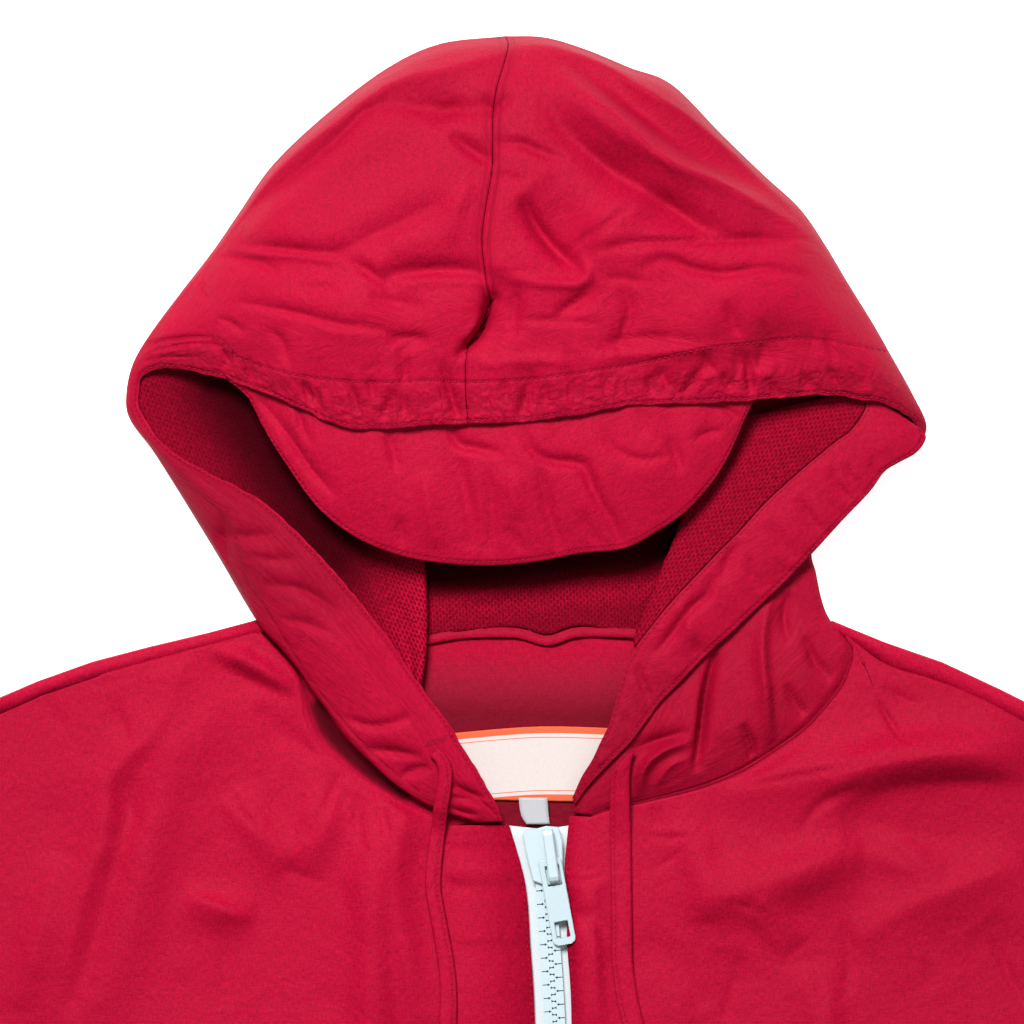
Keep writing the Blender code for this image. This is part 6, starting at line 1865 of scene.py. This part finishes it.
def setting():
    corners = with_heights(np.array([(-6.0, -6.0), (6.0, -6.0), (6.0, 6.0), (-6.0, 6.0)]), FLOOR_LEVEL)
    look, _, shader = plain("pale floor", (0.9, 0.9, 0.9), 0.9)
    shader.inputs["Emission Color"].default_value = (1, 1, 1, 1)
    shader.inputs["Emission Strength"].default_value = 0.75
    floor = mesh_piece("floor", corners, [(0, 1, 2, 3)], look)
    light("window", (-0.5, 1.65, 2.5), 0.9, 143)
    light("fill", (1.2, -0.4, 3.0), 2.6, 15)
    world = bpy.data.worlds.new("studio")
    world.use_nodes = True
    world.node_tree.nodes["Background"].inputs["Color"].default_value = (1, 1, 1, 1)
    world.node_tree.nodes["Background"].inputs["Strength"].default_value = 0.24
    bpy.context.scene.world = world
    bpy.context.scene.view_settings.view_transform = "Standard"


def stitching(tree, thread):
    """Every sewn line that shows, and the like on the sides that don't."""
    rows = []
    for top in hood_tops.values():
        rows += stitch_row(line_at(top, FACE_STITCH), Ground(top), 2.1)
        rows += stitch_row(evenly(CASING_SEAM, 60), Ground(top), 2.4)
    sew("hood_stitching", rows, tree, thread)
    rows = stitch_row(line_at(peak_net, -FACE_STITCH), Ground(peak_net), 2.1)
    sew("peak_stitching", rows, tree, thread)
    ground = Ground(facing_net)
    rows = stitch_row(line_at(facing_net, FACE_STITCH), ground, 2.1)
    rows += stitch_row(line_at(facing_net, -1.0), ground, 2.4)
    sew("facing_stitching", rows, tree, thread)
    rows = []
    for half, (side, out) in zip(front_halves, OUTWARD.items()):
        ground = Ground(half)
        rows += stitch_row(line_at(half, -1.1)[: int(len(half) * 0.6)], ground, 2.4)
        shoulder = evenly(np.array(SHOULDERS[side][1]), 30)
        rows += stitch_row(moved(shoulder, out * 1.9)[22 if side == "left" else 0:], ground, 2.6)
    hem = [(-HEM_HALF + 3, HEM + 20), (0, HEM + 20), (HEM_HALF - 3, HEM + 20)]
    rows += stitch_row(hem, Ground(*front_halves), 3.2)
    rows += stitch_row(hem, Ground(back_net), 3.2, below=True)
    sew("body_stitching", rows, tree, thread)
    rows = []
    for net in sleeves.values():
        ground = Ground(np.concatenate([net, net[:, :1]], 1))
        cuff = net[-7, :SLEEVE_TOP, :2]
        rows += stitch_row(cuff, ground, 3.2) + stitch_row(cuff, ground, 3.2, below=True)
    sew("cuff_stitching", rows, tree, thread)
    rows = []
    for k in range(10):
        start = np.array([-47.2 + 0.82 * k, 27.5 + 0.25 * k])
        rows += stitch_row([start, start + (0.4, 0.9), start + (0.8, 1.8)], Ground(hood_tops["left"]), 0.7)
    sew("bar_tack", rows, tree, thread, 1.3, 0.5)
    rows = []
    for side, inset in (("left", -1.5), ("right", 1.5)):
        rows += stitch_row(line_at(ties[side], inset), Ground(ties[side]), 2.1)
    sew("tie_stitching", rows, tree, thread, 1.6, 0.42)


# Everything.

camera()
GROUPS = {"weave": weave_group(), "crumple": crumple_group(), "sewn": sewn_group(), "holes": holes_group(),
          "bands": bands_group(), "gathers": gathers_group()}
red = cloth_look("crimson cloth", (0.26, 0.001, 0.017), (0.45, 0.0026, 0.032), 0.62, GROUPS)
mesh_red = net_look(GROUPS)
white = fine_look("pale plastic", (0.43, 0.53, 0.57), (0.47, 0.57, 0.61), 0.35, GROUPS, 0.004, 0.4)
tape = fine_look("zip tape", (0.46, 0.52, 0.54), (0.58, 0.63, 0.65), 0.8, GROUPS, 0.0006, 0.1)
satin = fine_look("size tag satin", (0.36, 0.36, 0.38), (0.42, 0.42, 0.44), 0.45, GROUPS, 0.0004)
label_cloth = label_look(GROUPS)
thread = plain("crimson thread", (0.33, 0.002, 0.025), 0.6, 0.12)[0]
# A dark colour painted as the shade in the gaps of the zip's chain.
shade = plain("painted chain shade", (0.17, 0.28, 0.31), 0.7, 0.1)[0]
hoods, hood_tops = hood(red)
peak_net = peak(red)
facing_net = turned_edge(red, mesh_red)
linings(mesh_red)
neck_roll(red)
rim_roll(red, hood_tops["left"])
front_halves = front_body(red)
back_net = back_body(red)
sleeves = {hand: sleeve(hand, red) for hand in ("left", "right")}
flat_strip("label", *LABEL_EDGES, 60, 40, CLEAR, 0.6, label_cloth, "label_cloth")
flat_strip("size_tag", *SIZE_TAG, 12, 8, CLEAR + SEAM + 1.0, 0.6, satin, "tag_satin", flip=True)
zip_tapes(tape)
ties = drawstrings(red, Ground(*hoods.values(), facing_net, *front_halves))
zip_teeth(tooth_tree(), white, shade)
stitching(stitch_tree(), thread)
for part in ("zip_slider", "zip_pull"):
    piece = bpy.data.objects[part]
    for holder in piece.material_slots:
        holder.material = white
    rounded = piece.modifiers.new("rounded", "BEVEL")
    rounded.width = 0.3 * MM
    rounded.segments = 2
setting()
